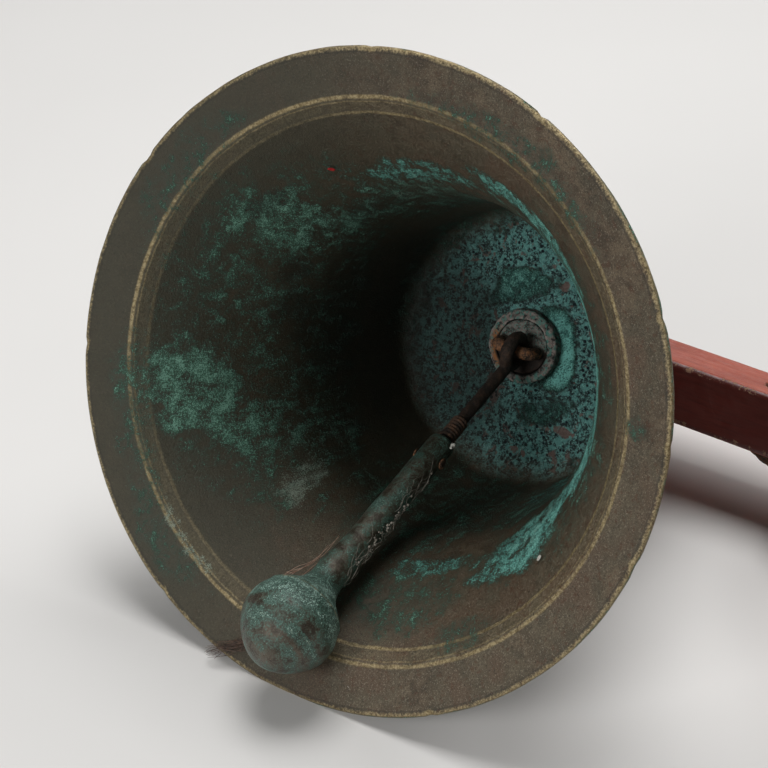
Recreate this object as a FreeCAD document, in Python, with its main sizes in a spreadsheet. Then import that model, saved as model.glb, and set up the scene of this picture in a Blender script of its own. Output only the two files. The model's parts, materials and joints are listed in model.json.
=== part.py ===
"""Wall mounted bell: a cast bronze bell bolted under a wooden arm, with a clapper that swings inside it.

The row frame has +Y out of the back of the wall board, into the wall, +Z up, and its origin at the middle
of the board's back face. Lengths are millimetres, angles are degrees.
"""
import FreeCAD, Part
import math
import os
import re

import Sketcher

Vector = FreeCAD.Vector

SIZES = {
    # bell casting
    "rim_radius": 160.0,
    "rim_edge": 4.0,
    "lip_radius": 135.0,
    "lip_rise": 8.0,
    "wall_thickness": 6.0,
    "flare_radius": 70.0,
    "waist_radius": 165.0,
    "knee_angle": 52.0,
    "mid_angle": 41.0,
    "waist_angle": 7.0,
    "corner_radius": 14.0,
    "bell_depth": 194.5,
    "crust_radius": 34.0,
    "crust_height": 1.2,
    "boss_radius": 26.0,
    "boss_height": 2.5,
    "bead_radius": 1.6,
    "bead_height": 0.8,
    "bead_angle": 45.5,
    "band_radius": 3.0,
    "band_height": 1.8,
    "band_angle": 22.0,
    "shoulder_band_height": 158.0,
    "edge_rounding": 1.0,
    # eye bolt and what it clamps
    "bolt_radius": 6.0,
    "bolt_clearance": 0.3,
    "loop_wire_radius": 3.5,
    "loop_half_width": 10.5,
    "loop_corner_radius": 5.0,
    "pivot_drop": 12.0,
    "collar_radius": 15.0,
    "collar_height": 3.4,
    "collar_clearance": 0.5,
    "hub_radius": 20.7,
    "hub_height": 8.0,
    "hub_rounding": 2.0,
    "recess_depth": 4.0,
    "pad_radius": 30.0,
    "pad_thickness": 3.0,
    "top_plate_side": 30.0,
    "top_plate_thickness": 3.0,
    "nut_side": 19.0,
    "nut_height": 9.0,
    "jam_nut_height": 6.0,
    "thread_stand": 5.0,
    # wooden arm and wall board
    "arm_width": 33.0,
    "arm_height": 52.0,
    "arm_length": 240.0,
    "arm_overhang": 42.0,
    "arm_chamfer": 1.5,
    "nose_chamfer": 10.0,
    "tenon_width": 17.0,
    "tenon_height": 36.0,
    "board_width": 76.0,
    "board_height": 200.0,
    "board_thickness": 28.0,
    "board_above": 14.5,
    "board_chamfer": 5.0,
    "wedge_length": 22.0,
    "wedge_thick_end": 4.0,
    "wedge_thin_end": 0.8,
    "peg_radius": 4.0,
    "wall_hole_radius": 4.0,
    "wall_hole_spacing_across": 54.0,
    "wall_hole_spacing_up": 160.0,
    # iron brace and its fixings
    "brace_bolt_reach": 139.0,
    "brace_width": 24.0,
    "brace_thickness": 5.0,
    "brace_drop": 98.0,
    "brace_bolt_radius": 4.0,
    "brace_bolt_clearance": 0.2,
    "dome_radius": 9.0,
    "dome_height": 5.0,
    "counterbore_radius": 13.0,
    "counterbore_depth": 9.5,
    "brace_washer_radius": 10.0,
    "brace_washer_thickness": 1.5,
    "brace_nut_side": 13.0,
    "brace_nut_height": 6.0,
    "brace_bolt_inset": 2.0,
    "foot_width": 35.0,
    "screw_radius": 2.2,
    "screw_length": 22.0,
    "screw_head_radius": 4.5,
    "screw_head_height": 2.6,
    "screw_spacing": 18.0,
    # clapper
    "rod_radius": 3.5,
    "rod_offset": 5.0,
    "eye_inner_radius": 5.0,
    "eye_play": 0.3,
    "eye_shift": 2.0,
    "rod_tail": 101.0,
    "lashing_start": 58.0,
    "lashing_turns": 7.0,
    "lashing_wire_radius": 1.1,
    "lashing_groove": 0.44,
    "lashing_turn_radius": 1.21,
    "shank_top": 76.0,
    "shank_radius": 7.4,
    "shank_rounding": 3.0,
    "shank_taper_length": 60.0,
    "shank_foot_radius": 9.0,
    "neck_radius": 16.5,
    "neck_length": 39.0,
    "neck_curve": 22.0,
    "clapper_overreach": 48.0,
    "ball_radius": 24.4,
    "belt_depth": 4.0,
    "flank_curve": 34.0,
    "ball_end_radius": 9.0,
    "ball_end_cut": 2.0,
    "ball_end_rise": 1.6,
    "ridge_height": 12.0,
    "ridge_radius": 0.9,
    "ridge_sink": 0.3,
    "rivet_radius": 2.0,
    "rivet_drop": 90.0,
    "rivet_head_radius": 3.2,
    "rivet_head_height": 1.4,
    "lip_gap": 0.4,
    # how far a cut or a joined solid runs past the face it meets
    "cut_overrun": 5.0,
}

FULL_TURN = 360.0
QUARTER_TURN = 90.0
# Two lengths count as the same within this many millimetres.
SAME_LENGTH = 0.01
CUBIC_MM_PER_CM = 1000.0

doc = FreeCAD.newDocument("wall_bell")
sheet = doc.addObject("Spreadsheet::Sheet", "Sizes")
for row, (alias, number) in enumerate(SIZES.items(), start=1):
    sheet.set(f"A{row}", alias)
    sheet.set(f"B{row}", str(number))
    sheet.setAlias(f"B{row}", alias)
doc.recompute()

NODES = []


def formula(text):
    """An expression over the sheet: each word with an underscore is the alias of a cell."""
    return re.sub(r"[a-z]+(?:_[a-z]+)+", lambda word: "Sizes." + word.group(0), text)


def number(text):
    """The value of an expression over the sheet."""
    return float(sheet.evalExpression(formula(text)))


# Heights above the mouth plane, along the bell's axis.
CROWN_TOP = "(bell_depth + wall_thickness)"
ARM_BOTTOM = f"({CROWN_TOP} + pad_thickness)"
ARM_MIDDLE = f"({ARM_BOTTOM} + arm_height / 2)"
ARM_TOP = f"({ARM_BOTTOM} + arm_height)"
NUT_SEAT = f"({ARM_TOP} + top_plate_thickness)"
HUB_TOP = "(bell_depth - boss_height)"
HUB_FACE = f"({HUB_TOP} - hub_height)"
PIVOT_HEIGHT = f"({HUB_FACE} - pivot_drop)"
BALL_DROP = f"({PIVOT_HEIGHT} + clapper_overreach)"
BOARD_MIDDLE = f"({ARM_TOP} + board_above - board_height / 2)"
BELL_BOLT_HOLE = "(bolt_radius + bolt_clearance)"
BRACE_BOLT_HOLE = "(brace_bolt_radius + brace_bolt_clearance)"
REACH = "(arm_length + board_thickness)"

# Where the bell's own frame (origin at the middle of its mouth) sits in the row frame.
MOUTH_PLACE = Vector(0, -number(REACH), -number(BOARD_MIDDLE))


def keep(shape_object, label, place=None):
    """Names a finished sub-part, puts it in place and lists it as a node."""
    shape_object.Label = label
    shape_object.Placement = place or FreeCAD.Placement(MOUTH_PLACE, FreeCAD.Rotation())
    NODES.append(shape_object)


def new_body(name):
    return doc.addObject("PartDesign::Body", name + "_body")


def new_sketch(body, role, name, lift=None):
    """A sketch on one of its body's origin planes, lifted along the plane's normal."""
    sketch = body.newObject("Sketcher::SketchObject", name)
    plane = next(item for item in body.Origin.OriginFeatures if item.Role == role)
    sketch.AttachmentSupport = [(plane, "")]
    sketch.MapMode = "FlatFace"
    if lift:
        sketch.setExpression("AttachmentOffset.Base.z", formula(lift))
    return sketch


def pin_point(sketch, geometry, point, across, up):
    """Holds one point of a sketch at a pair of bound coordinates."""
    for kind, text in (("DistanceX", across), ("DistanceY", up)):
        index = sketch.addConstraint(Sketcher.Constraint(kind, -1, 1, geometry, point, number(text)))
        sketch.setExpression(f"Constraints[{index}]", formula(text))


def add_circle(sketch, across, up, radius):
    centre = Vector(number(across), number(up), 0)
    geometry = sketch.addGeometry(Part.Circle(centre, Vector(0, 0, 1), number(radius)), False)
    pin_point(sketch, geometry, 3, across, up)
    index = sketch.addConstraint(Sketcher.Constraint("Radius", geometry, number(radius)))
    sketch.setExpression(f"Constraints[{index}]", formula(radius))


def arc_between(first, last, radius, side):
    """The short arc between two points, with its centre on the left (+1) or right (-1) of the chord."""
    chord = last - first
    middle = (first + last) * 0.5
    left = Vector(-chord.y, chord.x, 0).normalize()
    away = math.sqrt(max(radius ** 2 - (chord.Length / 2) ** 2, 0.0))
    centre = middle + left * (away * side)
    top = centre - left * (radius * side)
    return Part.Arc(first, top, last)


def add_outline(sketch, points, arcs=None, closed=True):
    """Straight edges through bound points; arcs maps an edge's number to its radius and centre side."""
    arcs = arcs or {}
    corners = [Vector(number(across), number(up), 0) for across, up in points]
    count = len(points) if closed else len(points) - 1
    starts = []
    for edge in range(count):
        first = corners[edge]
        last = corners[(edge + 1) % len(corners)]
        if edge in arcs:
            radius, side = arcs[edge]
            curve = arc_between(first, last, number(radius), side)
        else:
            curve = Part.LineSegment(first, last)
        starts.append(sketch.addGeometry(curve, False))
    ends = []
    for edge, geometry in enumerate(starts):
        # An arc runs anticlockwise, so its start may be the outline's later point.
        backwards = edge in arcs and arcs[edge][1] < 0
        ends.append((geometry, 2, 1) if backwards else (geometry, 1, 2))
    for edge, (geometry, start, _) in enumerate(ends):
        pin_point(sketch, geometry, start, *points[edge])
        before, _, finish = ends[edge - 1]
        if edge or closed:
            sketch.addConstraint(Sketcher.Constraint("Coincident", before, finish, geometry, start))
    if not closed:
        geometry, _, finish = ends[-1]
        pin_point(sketch, geometry, finish, *points[-1])
    for edge, (radius, _) in arcs.items():
        index = sketch.addConstraint(Sketcher.Constraint("Radius", ends[edge][0], number(radius)))
        sketch.setExpression(f"Constraints[{index}]", formula(radius))


def add_box_outline(sketch, low_across, low_up, high_across, high_up):
    points = [(low_across, low_up), (high_across, low_up), (high_across, high_up), (low_across, high_up)]
    add_outline(sketch, points)


def revolve(body, sketch, name, axis=None):
    """A full turn of a sketch about its own upright axis, or about another sketch's edge."""
    feature = body.newObject("PartDesign::Revolution", name)
    feature.Profile = sketch
    feature.ReferenceAxis = axis or (sketch, ["V_Axis"])
    feature.Angle = FULL_TURN
    doc.recompute()


def pad(body, sketch, name, length, both_ways=False, downwards=False):
    feature = body.newObject("PartDesign::Pad", name)
    feature.Profile = sketch
    feature.setExpression("Length", formula(length))
    if both_ways:
        feature.SideType = "Symmetric"
    feature.Reversed = downwards
    doc.recompute()


def pocket(body, sketch, name, depth=None, both_ways=False):
    """A cut to a depth, or through everything where there is none; it must take material away."""
    before = body.Shape.Volume
    feature = body.newObject("PartDesign::Pocket", name)
    feature.Profile = sketch
    if both_ways:
        feature.SideType = "Symmetric"
    if depth:
        feature.setExpression("Length", formula(depth))
    else:
        feature.Type = "ThroughAll"
    doc.recompute()
    if not body.Shape.Volume < before:
        raise RuntimeError(f"{name} cuts nothing")


def cut_through(body, sketch, name):
    pocket(body, sketch, name, both_ways=True)


def edges_where(body, wanted):
    """Names of the tip's edges whose box fits a test."""
    return [f"Edge{index}" for index, edge in enumerate(body.Tip.Shape.Edges, start=1) if wanted(edge)]


def dress(body, kind, name, wanted, size_property, size):
    """A fillet or chamfer on the edges that fit a test."""
    base = body.Tip
    names = edges_where(body, wanted)
    if not names:
        raise RuntimeError(f"{name} finds no edge")
    feature = body.newObject(kind, name)
    feature.Base = (base, names)
    feature.setExpression(size_property, formula(size))
    doc.recompute()


def same(first, second):
    return abs(first - second) < SAME_LENGTH


def lies_at(edge, radius, height):
    """True for a full circle about the body's Z axis at that radius and height."""
    box = edge.BoundBox
    flat = same(box.ZMax, height) and same(box.ZMin, height)
    return flat and same(box.XMax, radius) and same(box.XMin, -radius)


# ---------------------------------------------------------------- bell casting

def along_arc(start, radius, from_angle, to_angle):
    """The point reached along an arc of the bell's inner wall. Angles are measured from the axis."""
    across = f"({start[0]} + {radius} * (cos({from_angle}) - cos({to_angle})))"
    up = f"({start[1]} + {radius} * (sin({from_angle}) - sin({to_angle})))"
    return across, up


def outwards(point, distance, angle):
    """A point moved out of the bell along the wall's normal."""
    return f"({point[0]} + {distance} * cos({angle}))", f"({point[1]} + {distance} * sin({angle}))"


KNEE = ("lip_radius", "lip_rise")
FLARE_END = along_arc(KNEE, "flare_radius", "knee_angle", "mid_angle")
WAIST_END = along_arc(FLARE_END, "waist_radius", "mid_angle", "waist_angle")
CORNER_START_UP = "(bell_depth - corner_radius * (1 - sin(waist_angle)))"
CORNER_START_ACROSS = f"({WAIST_END[0]} - ({CORNER_START_UP} - {WAIST_END[1]}) * tan(waist_angle))"
CORNER_START = (CORNER_START_ACROSS, CORNER_START_UP)
CORNER_MIDDLE = f"({CORNER_START[0]} - corner_radius * cos(waist_angle))"


def bell():
    """The casting: dished lip, flare, waist, rounded shoulder and flat crown, with its beads and bands."""
    body = new_body("bell")
    profile = new_sketch(body, "XZ_Plane", "bell_profile")
    points = [
        ("rim_radius", "0"),
        KNEE,
        FLARE_END,
        WAIST_END,
        CORNER_START,
        (CORNER_MIDDLE, "bell_depth"),
        ("crust_radius + crust_height", "bell_depth"),
        ("crust_radius", "bell_depth - crust_height"),
        ("boss_radius", "bell_depth - crust_height"),
        ("boss_radius", HUB_TOP),
        (BELL_BOLT_HOLE, HUB_TOP),
        (BELL_BOLT_HOLE, CROWN_TOP),
        (CORNER_MIDDLE, CROWN_TOP),
        outwards(CORNER_START, "wall_thickness", "waist_angle"),
        outwards(WAIST_END, "wall_thickness", "waist_angle"),
        outwards(FLARE_END, "wall_thickness", "mid_angle"),
        outwards(KNEE, "wall_thickness", "knee_angle"),
        ("rim_radius", "rim_edge"),
    ]
    arcs = {
        1: ("flare_radius", -1),
        2: ("waist_radius", -1),
        4: ("corner_radius", 1),
        12: ("corner_radius + wall_thickness", -1),
        14: ("waist_radius - wall_thickness", 1),
        15: ("flare_radius - wall_thickness", 1),
    }
    add_outline(profile, points, arcs)
    revolve(body, profile, "bell_wall")

    second_bead = along_arc(KNEE, "flare_radius", "knee_angle", "bead_angle")
    band = outwards(along_arc(FLARE_END, "waist_radius", "mid_angle", "band_angle"),
                    "(wall_thickness + band_height - band_radius)", "band_angle")
    shoulder = (f"({WAIST_END[0]} - (shoulder_band_height - {WAIST_END[1]}) * tan(waist_angle)"
                " + wall_thickness / cos(waist_angle) + band_height - band_radius)", "shoulder_band_height")
    rings = {
        "lip_bead": (outwards(KNEE, "(bead_radius - bead_height)", "knee_angle"), "bead_radius"),
        "flare_bead": (outwards(second_bead, "(bead_radius - bead_height)", "bead_angle"), "bead_radius"),
        "waist_band": (band, "band_radius"),
        "shoulder_band": (shoulder, "band_radius"),
    }
    for name, (centre, radius) in rings.items():
        ring = new_sketch(body, "XZ_Plane", name + "_profile")
        add_circle(ring, *centre, radius)
        revolve(body, ring, name)

    rim = number("rim_radius")
    heights = (0.0, number("rim_edge"))
    dress(body, "PartDesign::Fillet", "rim_rounding",
          lambda edge: any(lies_at(edge, rim, height) for height in heights), "Radius", "edge_rounding")
    keep(body, "bell")


# ------------------------------------------------- eye bolt and the pieces it clamps

def crown_hub():
    """Thick iron washer inside the crown, with a round recess that takes the eye bolt's collar."""
    body = new_body("crown_hub")
    profile = new_sketch(body, "XZ_Plane", "hub_profile")
    recess = "(collar_radius + collar_clearance)"
    points = [
        (BELL_BOLT_HOLE, HUB_TOP),
        (BELL_BOLT_HOLE, f"{HUB_FACE} + recess_depth"),
        (recess, f"{HUB_FACE} + recess_depth"),
        (recess, HUB_FACE),
        ("hub_radius - hub_rounding", HUB_FACE),
        ("hub_radius", f"{HUB_FACE} + hub_rounding"),
        ("hub_radius", HUB_TOP),
    ]
    add_outline(profile, points, {4: ("hub_rounding", 1)})
    revolve(body, profile, "hub_turned")
    keep(body, "crown_hub")


def eye_bolt():
    """Forged bolt: a closed loop of round bar below a collar, and a plain shank up through the arm."""
    body = new_body("eye_bolt")
    collar_seat = f"({HUB_FACE} + recess_depth)"
    shank = new_sketch(body, "XY_Plane", "shank_section", collar_seat)
    add_circle(shank, "0", "0", "bolt_radius")
    pad(body, shank, "shank", f"{NUT_SEAT} + nut_height + jam_nut_height + thread_stand - {collar_seat}")
    collar = new_sketch(body, "XY_Plane", "collar_section", collar_seat)
    add_circle(collar, "0", "0", "collar_radius")
    pad(body, collar, "collar", "collar_height", downwards=True)

    path = new_sketch(body, "YZ_Plane", "loop_path")
    start = f"({collar_seat} - collar_height / 2)"
    corner = f"({PIVOT_HEIGHT} + loop_corner_radius)"
    points = [
        ("-loop_half_width", start),
        ("-loop_half_width", corner),
        ("loop_corner_radius - loop_half_width", PIVOT_HEIGHT),
        ("loop_half_width - loop_corner_radius", PIVOT_HEIGHT),
        ("loop_half_width", corner),
        ("loop_half_width", start),
    ]
    add_outline(path, points, {1: ("loop_corner_radius", 1), 3: ("loop_corner_radius", 1)}, closed=False)
    section = new_sketch(body, "XY_Plane", "loop_section", start)
    add_circle(section, "0", "-loop_half_width", "loop_wire_radius")
    doc.recompute()
    loop = body.newObject("PartDesign::AdditivePipe", "loop")
    loop.Profile = section
    loop.Spine = path
    doc.recompute()
    keep(body, "eye_bolt")


def round_washer(name, bottom, height, radius, hole):
    """A flat round washer about the bell's axis."""
    body = new_body(name)
    section = new_sketch(body, "XY_Plane", name + "_section", bottom)
    add_circle(section, "0", "0", radius)
    add_circle(section, "0", "0", hole)
    pad(body, section, name + "_disc", height)
    keep(body, name)


def square_piece(name, bottom, height, side, hole):
    """A square plate or nut about the bell's axis, with its corners just taken off."""
    body = new_body(name)
    section = new_sketch(body, "XY_Plane", name + "_section", bottom)
    add_box_outline(section, f"-{side} / 2", f"-{side} / 2", f"{side} / 2", f"{side} / 2")
    add_circle(section, "0", "0", hole)
    pad(body, section, name + "_block", height)
    half_side = number(f"{side} / 2")
    dress(body, "PartDesign::Chamfer", name + "_corners",
          lambda edge: same(edge.BoundBox.XLength, 0) and same(edge.BoundBox.YLength, 0)
          and same(abs(edge.BoundBox.XMax), half_side), "Size", "edge_rounding")
    keep(body, name)


# ------------------------------------------------------------ arm and wall board

def arm():
    """Square-sawn arm: bell bolt hole, brace bolt hole with its counterbore, and a through tenon."""
    body = new_body("arm")
    front = "-arm_overhang"
    beam = new_sketch(body, "YZ_Plane", "arm_side")
    points = [
        (front, f"{ARM_BOTTOM} + nose_chamfer"),
        (f"{front} + nose_chamfer", ARM_BOTTOM),
        ("arm_length", ARM_BOTTOM),
        ("arm_length", ARM_TOP),
        (front, ARM_TOP),
    ]
    add_outline(beam, points)
    pad(body, beam, "beam", "arm_width", both_ways=True)
    long_edge = number("arm_length")
    dress(body, "PartDesign::Chamfer", "arm_edges",
          lambda edge: edge.BoundBox.YLength > long_edge and same(edge.BoundBox.ZLength, 0),
          "Size", "arm_chamfer")
    tenon = new_sketch(body, "YZ_Plane", "tenon_side")
    add_box_outline(tenon, "arm_length - cut_overrun", f"{ARM_MIDDLE} - tenon_height / 2",
                    REACH, f"{ARM_MIDDLE} + tenon_height / 2")
    pad(body, tenon, "tenon", "tenon_width", both_ways=True)
    hole = new_sketch(body, "XY_Plane", "bell_bolt_circle", ARM_MIDDLE)
    add_circle(hole, "0", "0", BELL_BOLT_HOLE)
    cut_through(body, hole, "bell_bolt_hole")
    cross = new_sketch(body, "YZ_Plane", "brace_bolt_circle")
    add_circle(cross, "brace_bolt_reach", ARM_MIDDLE, BRACE_BOLT_HOLE)
    cut_through(body, cross, "brace_bolt_hole")
    sink = new_sketch(body, "YZ_Plane", "counterbore_circle", "arm_width / 2")
    add_circle(sink, "brace_bolt_reach", ARM_MIDDLE, "counterbore_radius")
    pocket(body, sink, "counterbore", "counterbore_depth")
    peg = new_sketch(body, "YZ_Plane", "peg_circle")
    add_circle(peg, "arm_length + board_thickness / 2", ARM_MIDDLE, "peg_radius")
    cut_through(body, peg, "peg_hole")
    keep(body, "arm")


def wedge_outline(side):
    """One wedge in the YZ plane, above (+1) or below (-1) the tenon, thick end flush with the back."""
    face = f"({ARM_MIDDLE} + {side} * tenon_height / 2)"
    return [
        (f"{REACH} - wedge_length", face),
        (REACH, face),
        (REACH, f"{face} + {side} * wedge_thick_end"),
        (f"{REACH} - wedge_length", f"{face} + {side} * wedge_thin_end"),
    ]


def wall_board():
    """Board against the wall: chamfered front, mortise flared for the wedges, peg hole, four wall holes."""
    body = new_body("wall_board")
    low = f"({BOARD_MIDDLE} - board_height / 2)"
    high = f"({BOARD_MIDDLE} + board_height / 2)"
    side = new_sketch(body, "YZ_Plane", "board_side")
    points = [
        ("arm_length + board_chamfer", low),
        (REACH, low),
        (REACH, high),
        ("arm_length + board_chamfer", high),
        ("arm_length", f"{high} - board_chamfer"),
        ("arm_length", f"{low} + board_chamfer"),
    ]
    add_outline(side, points)
    pad(body, side, "board_block", "board_width", both_ways=True)
    mortise = new_sketch(body, "YZ_Plane", "mortise_side")
    add_box_outline(mortise, "arm_length - cut_overrun", f"{ARM_MIDDLE} - tenon_height / 2",
                    f"{REACH} + cut_overrun", f"{ARM_MIDDLE} + tenon_height / 2")
    pocket(body, mortise, "mortise", "tenon_width", both_ways=True)
    for name, way in (("upper", 1), ("lower", -1)):
        flare = new_sketch(body, "YZ_Plane", name + "_flare_side")
        add_outline(flare, wedge_outline(way))
        pocket(body, flare, name + "_flare", "tenon_width", both_ways=True)
    peg = new_sketch(body, "YZ_Plane", "board_peg_circle")
    add_circle(peg, "arm_length + board_thickness / 2", ARM_MIDDLE, "peg_radius")
    cut_through(body, peg, "board_peg_hole")
    holes = new_sketch(body, "XZ_Plane", "wall_hole_circles")
    for across in ("-wall_hole_spacing_across / 2", "wall_hole_spacing_across / 2"):
        for up in ("-wall_hole_spacing_up / 2", "wall_hole_spacing_up / 2"):
            add_circle(holes, across, f"{BOARD_MIDDLE} + {up}", "wall_hole_radius")
    cut_through(body, holes, "wall_holes")
    keep(body, "wall_board")


def prism(outline, width):
    """A straight prism of the bell's YZ plane, centred on the arm, as a solid for a group."""
    corners = [Vector(0, number(across), number(up)) for across, up in outline]
    face = Part.Face(Part.makePolygon(corners + corners[:1]))
    solid = face.extrude(Vector(number(width), 0, 0))
    solid.translate(Vector(-number(width) / 2, 0, 0))
    return solid


def tenon_wedges():
    """Two oak wedges driven in from the back, above and below the tenon."""
    group = doc.addObject("Part::Feature", "tenon_wedges_group")
    group.Shape = Part.makeCompound([prism(wedge_outline(way), "tenon_width") for way in (1, -1)])
    keep(group, "tenon_wedges")


def tenon_peg():
    """Dowel through the board's edges and the tenon."""
    peg = doc.addObject("Part::Cylinder", "tenon_peg_dowel")
    peg.setExpression("Radius", formula("peg_radius"))
    peg.setExpression("Height", formula("board_width"))
    place = MOUTH_PLACE + Vector(-number("board_width") / 2, number("arm_length + board_thickness / 2"),
                                 number(ARM_MIDDLE))
    keep(peg, "tenon_peg", FreeCAD.Placement(place, FreeCAD.Rotation(Vector(0, 1, 0), QUARTER_TURN)))


# -------------------------------------------------------------- iron brace

BRACE_FOOT_UP = f"({ARM_MIDDLE} - brace_drop)"
BRACE_RUN = "(arm_length - brace_bolt_reach)"
BRACE_LENGTH = f"sqrt({BRACE_RUN} ^ 2 + brace_drop ^ 2)"
FOOT_HALF_HEIGHT = f"(brace_width / 2 * {BRACE_LENGTH} / {BRACE_RUN})"


def brace():
    """Flat iron strap down the side of the arm, folded flat against the board at its lower end."""
    body = new_body("brace")
    side_face = "(-arm_width / 2)"
    across = f"(brace_width / 2 * brace_drop / {BRACE_LENGTH})"
    up = f"(brace_width / 2 * {BRACE_RUN} / {BRACE_LENGTH})"
    strap = new_sketch(body, "YZ_Plane", "strap_side", side_face)
    points = [
        (f"brace_bolt_reach - {across}", f"{ARM_MIDDLE} - {up}"),
        ("arm_length", f"{BRACE_FOOT_UP} - {FOOT_HALF_HEIGHT}"),
        ("arm_length", f"{BRACE_FOOT_UP} + {FOOT_HALF_HEIGHT}"),
        (f"brace_bolt_reach + {across}", f"{ARM_MIDDLE} + {up}"),
    ]
    add_outline(strap, points)
    pad(body, strap, "strap", "brace_thickness", downwards=True)
    head = new_sketch(body, "YZ_Plane", "strap_end_circle", side_face)
    add_circle(head, "brace_bolt_reach", ARM_MIDDLE, "brace_width / 2")
    pad(body, head, "strap_end", "brace_thickness", downwards=True)
    foot = new_sketch(body, "YZ_Plane", "foot_side", f"{side_face} - brace_thickness")
    add_box_outline(foot, "arm_length - brace_thickness", f"{BRACE_FOOT_UP} - {FOOT_HALF_HEIGHT}",
                    "arm_length", f"{BRACE_FOOT_UP} + {FOOT_HALF_HEIGHT}")
    pad(body, foot, "foot", "foot_width")
    hole = new_sketch(body, "YZ_Plane", "strap_hole_circle")
    add_circle(hole, "brace_bolt_reach", ARM_MIDDLE, BRACE_BOLT_HOLE)
    cut_through(body, hole, "strap_hole")
    screws = new_sketch(body, "XZ_Plane", "foot_hole_circles")
    for way in (-1, 1):
        add_circle(screws, "0", f"{BRACE_FOOT_UP} + {way} * screw_spacing / 2", "screw_radius")
    cut_through(body, screws, "foot_holes")
    keep(body, "brace")


def dome_profile(sketch, radius, height, shank_radius, shank_end):
    """Half outline of a domed head on a plain shank: the head's flat face is at zero, the shank runs up."""
    points = [
        ("0", f"-{height}"),
        (radius, "0"),
        (shank_radius, "0"),
        (shank_radius, shank_end),
        ("0", shank_end),
    ]
    dome = f"(({radius} ^ 2 + {height} ^ 2) / (2 * {height}))"
    add_outline(sketch, points, {0: (dome, 1)})


def brace_bolt():
    """Dome-headed bolt through the strap and the arm."""
    body = new_body("brace_bolt")
    profile = new_sketch(body, "XZ_Plane", "brace_bolt_profile")
    length = "(brace_thickness + arm_width - brace_bolt_inset)"
    dome_profile(profile, "dome_radius", "dome_height", "brace_bolt_radius", length)
    revolve(body, profile, "brace_bolt_turned")
    place = MOUTH_PLACE + Vector(-number("arm_width / 2 + brace_thickness"), number("brace_bolt_reach"),
                                 number(ARM_MIDDLE))
    keep(body, "brace_bolt", FreeCAD.Placement(place, FreeCAD.Rotation(Vector(0, 1, 0), QUARTER_TURN)))


def in_counterbore(lift):
    """A place on the brace bolt's axis, facing out of the arm's side, above the counterbore's floor."""
    across = number(f"arm_width / 2 - counterbore_depth + {lift}")
    place = MOUTH_PLACE + Vector(across, number("brace_bolt_reach"), number(ARM_MIDDLE))
    return FreeCAD.Placement(place, FreeCAD.Rotation(Vector(0, 1, 0), QUARTER_TURN))


def brace_washer():
    body = new_body("brace_washer")
    section = new_sketch(body, "XY_Plane", "brace_washer_section")
    add_circle(section, "0", "0", "brace_washer_radius")
    add_circle(section, "0", "0", BRACE_BOLT_HOLE)
    pad(body, section, "brace_washer_disc", "brace_washer_thickness")
    keep(body, "brace_washer", in_counterbore("0"))


def brace_nut():
    body = new_body("brace_nut")
    section = new_sketch(body, "XY_Plane", "brace_nut_section")
    add_box_outline(section, "-brace_nut_side / 2", "-brace_nut_side / 2",
                    "brace_nut_side / 2", "brace_nut_side / 2")
    add_circle(section, "0", "0", "brace_bolt_radius")
    pad(body, section, "brace_nut_block", "brace_nut_height")
    keep(body, "brace_nut", in_counterbore("brace_washer_thickness"))


def screw_solid(up):
    """A round-head wood screw through the brace's foot into the board."""
    seat = Vector(0, number("arm_length - brace_thickness"), up)
    into = Vector(0, 1, 0)
    radius = number("screw_head_radius")
    height = number("screw_head_height")
    dome = (radius ** 2 + height ** 2) / (2 * height)
    ball = Part.makeSphere(dome, seat + into * (dome - height))
    room = number("cut_overrun")
    head = ball.common(Part.makeCylinder(radius + room, height + room, seat - into * (height + room), into))
    shank = Part.makeCylinder(number("screw_radius"), number("screw_length"), seat, into)
    return head.fuse(shank).removeSplitter()


def brace_screws():
    """Two screws that hold the brace's foot; their holes in the board are cut to the same length."""
    group = doc.addObject("Part::Feature", "brace_screws_group")
    ups = [number(f"{BRACE_FOOT_UP} + {way} * screw_spacing / 2") for way in (-1, 1)]
    group.Shape = Part.makeCompound([screw_solid(up) for up in ups])
    keep(group, "brace_screws")


def board_screw_holes():
    """Blind holes in the board for the brace's screws."""
    body = next(node for node in NODES if node.Label == "wall_board")
    holes = new_sketch(body, "XZ_Plane", "board_screw_circles", "-arm_length")
    for way in (-1, 1):
        add_circle(holes, "0", f"{BRACE_FOOT_UP} + {way} * screw_spacing / 2", "screw_radius")
    pocket(body, holes, "board_screw_holes", "screw_length - brace_thickness")


# ---------------------------------------------------------------- clapper
# The clapper's own frame has its origin at the pivot, on the loop's bar, and hangs down its -Z.

EYE_CENTRE_UP = "(-(eye_inner_radius - loop_wire_radius - eye_play))"
EYE_MEAN_RADIUS = "(eye_inner_radius + rod_radius)"


def rest_tilt():
    """Angle from plumb at which the ball lies against the lip bead, from the triangle pivot, knee, ball."""
    drop = number(f"{PIVOT_HEIGHT} - lip_rise")
    knee_away = math.hypot(number("lip_radius"), drop)
    ball_away = math.hypot(number(BALL_DROP), number("rod_offset"))
    touching = number("ball_radius + bead_height + lip_gap")
    between = math.acos((knee_away ** 2 + ball_away ** 2 - touching ** 2) / (2 * knee_away * ball_away))
    knee_angle = math.atan2(number("lip_radius"), drop)
    offset_angle = math.atan2(number("rod_offset"), number(BALL_DROP))
    return math.degrees(knee_angle - between - offset_angle)


def keep_on_clapper(shape_object, label, shift=None, turn=None):
    """Keeps a piece given in the clapper's own frame, after its own shift and turn in that frame."""
    pivot = MOUTH_PLACE + Vector(0, number("eye_shift"), number(PIVOT_HEIGHT))
    hang = FreeCAD.Placement(pivot, FreeCAD.Rotation(Vector(0, 1, 0), rest_tilt()))
    own = FreeCAD.Placement(shift or Vector(), turn or FreeCAD.Rotation())
    keep(shape_object, label, hang.multiply(own))


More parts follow.
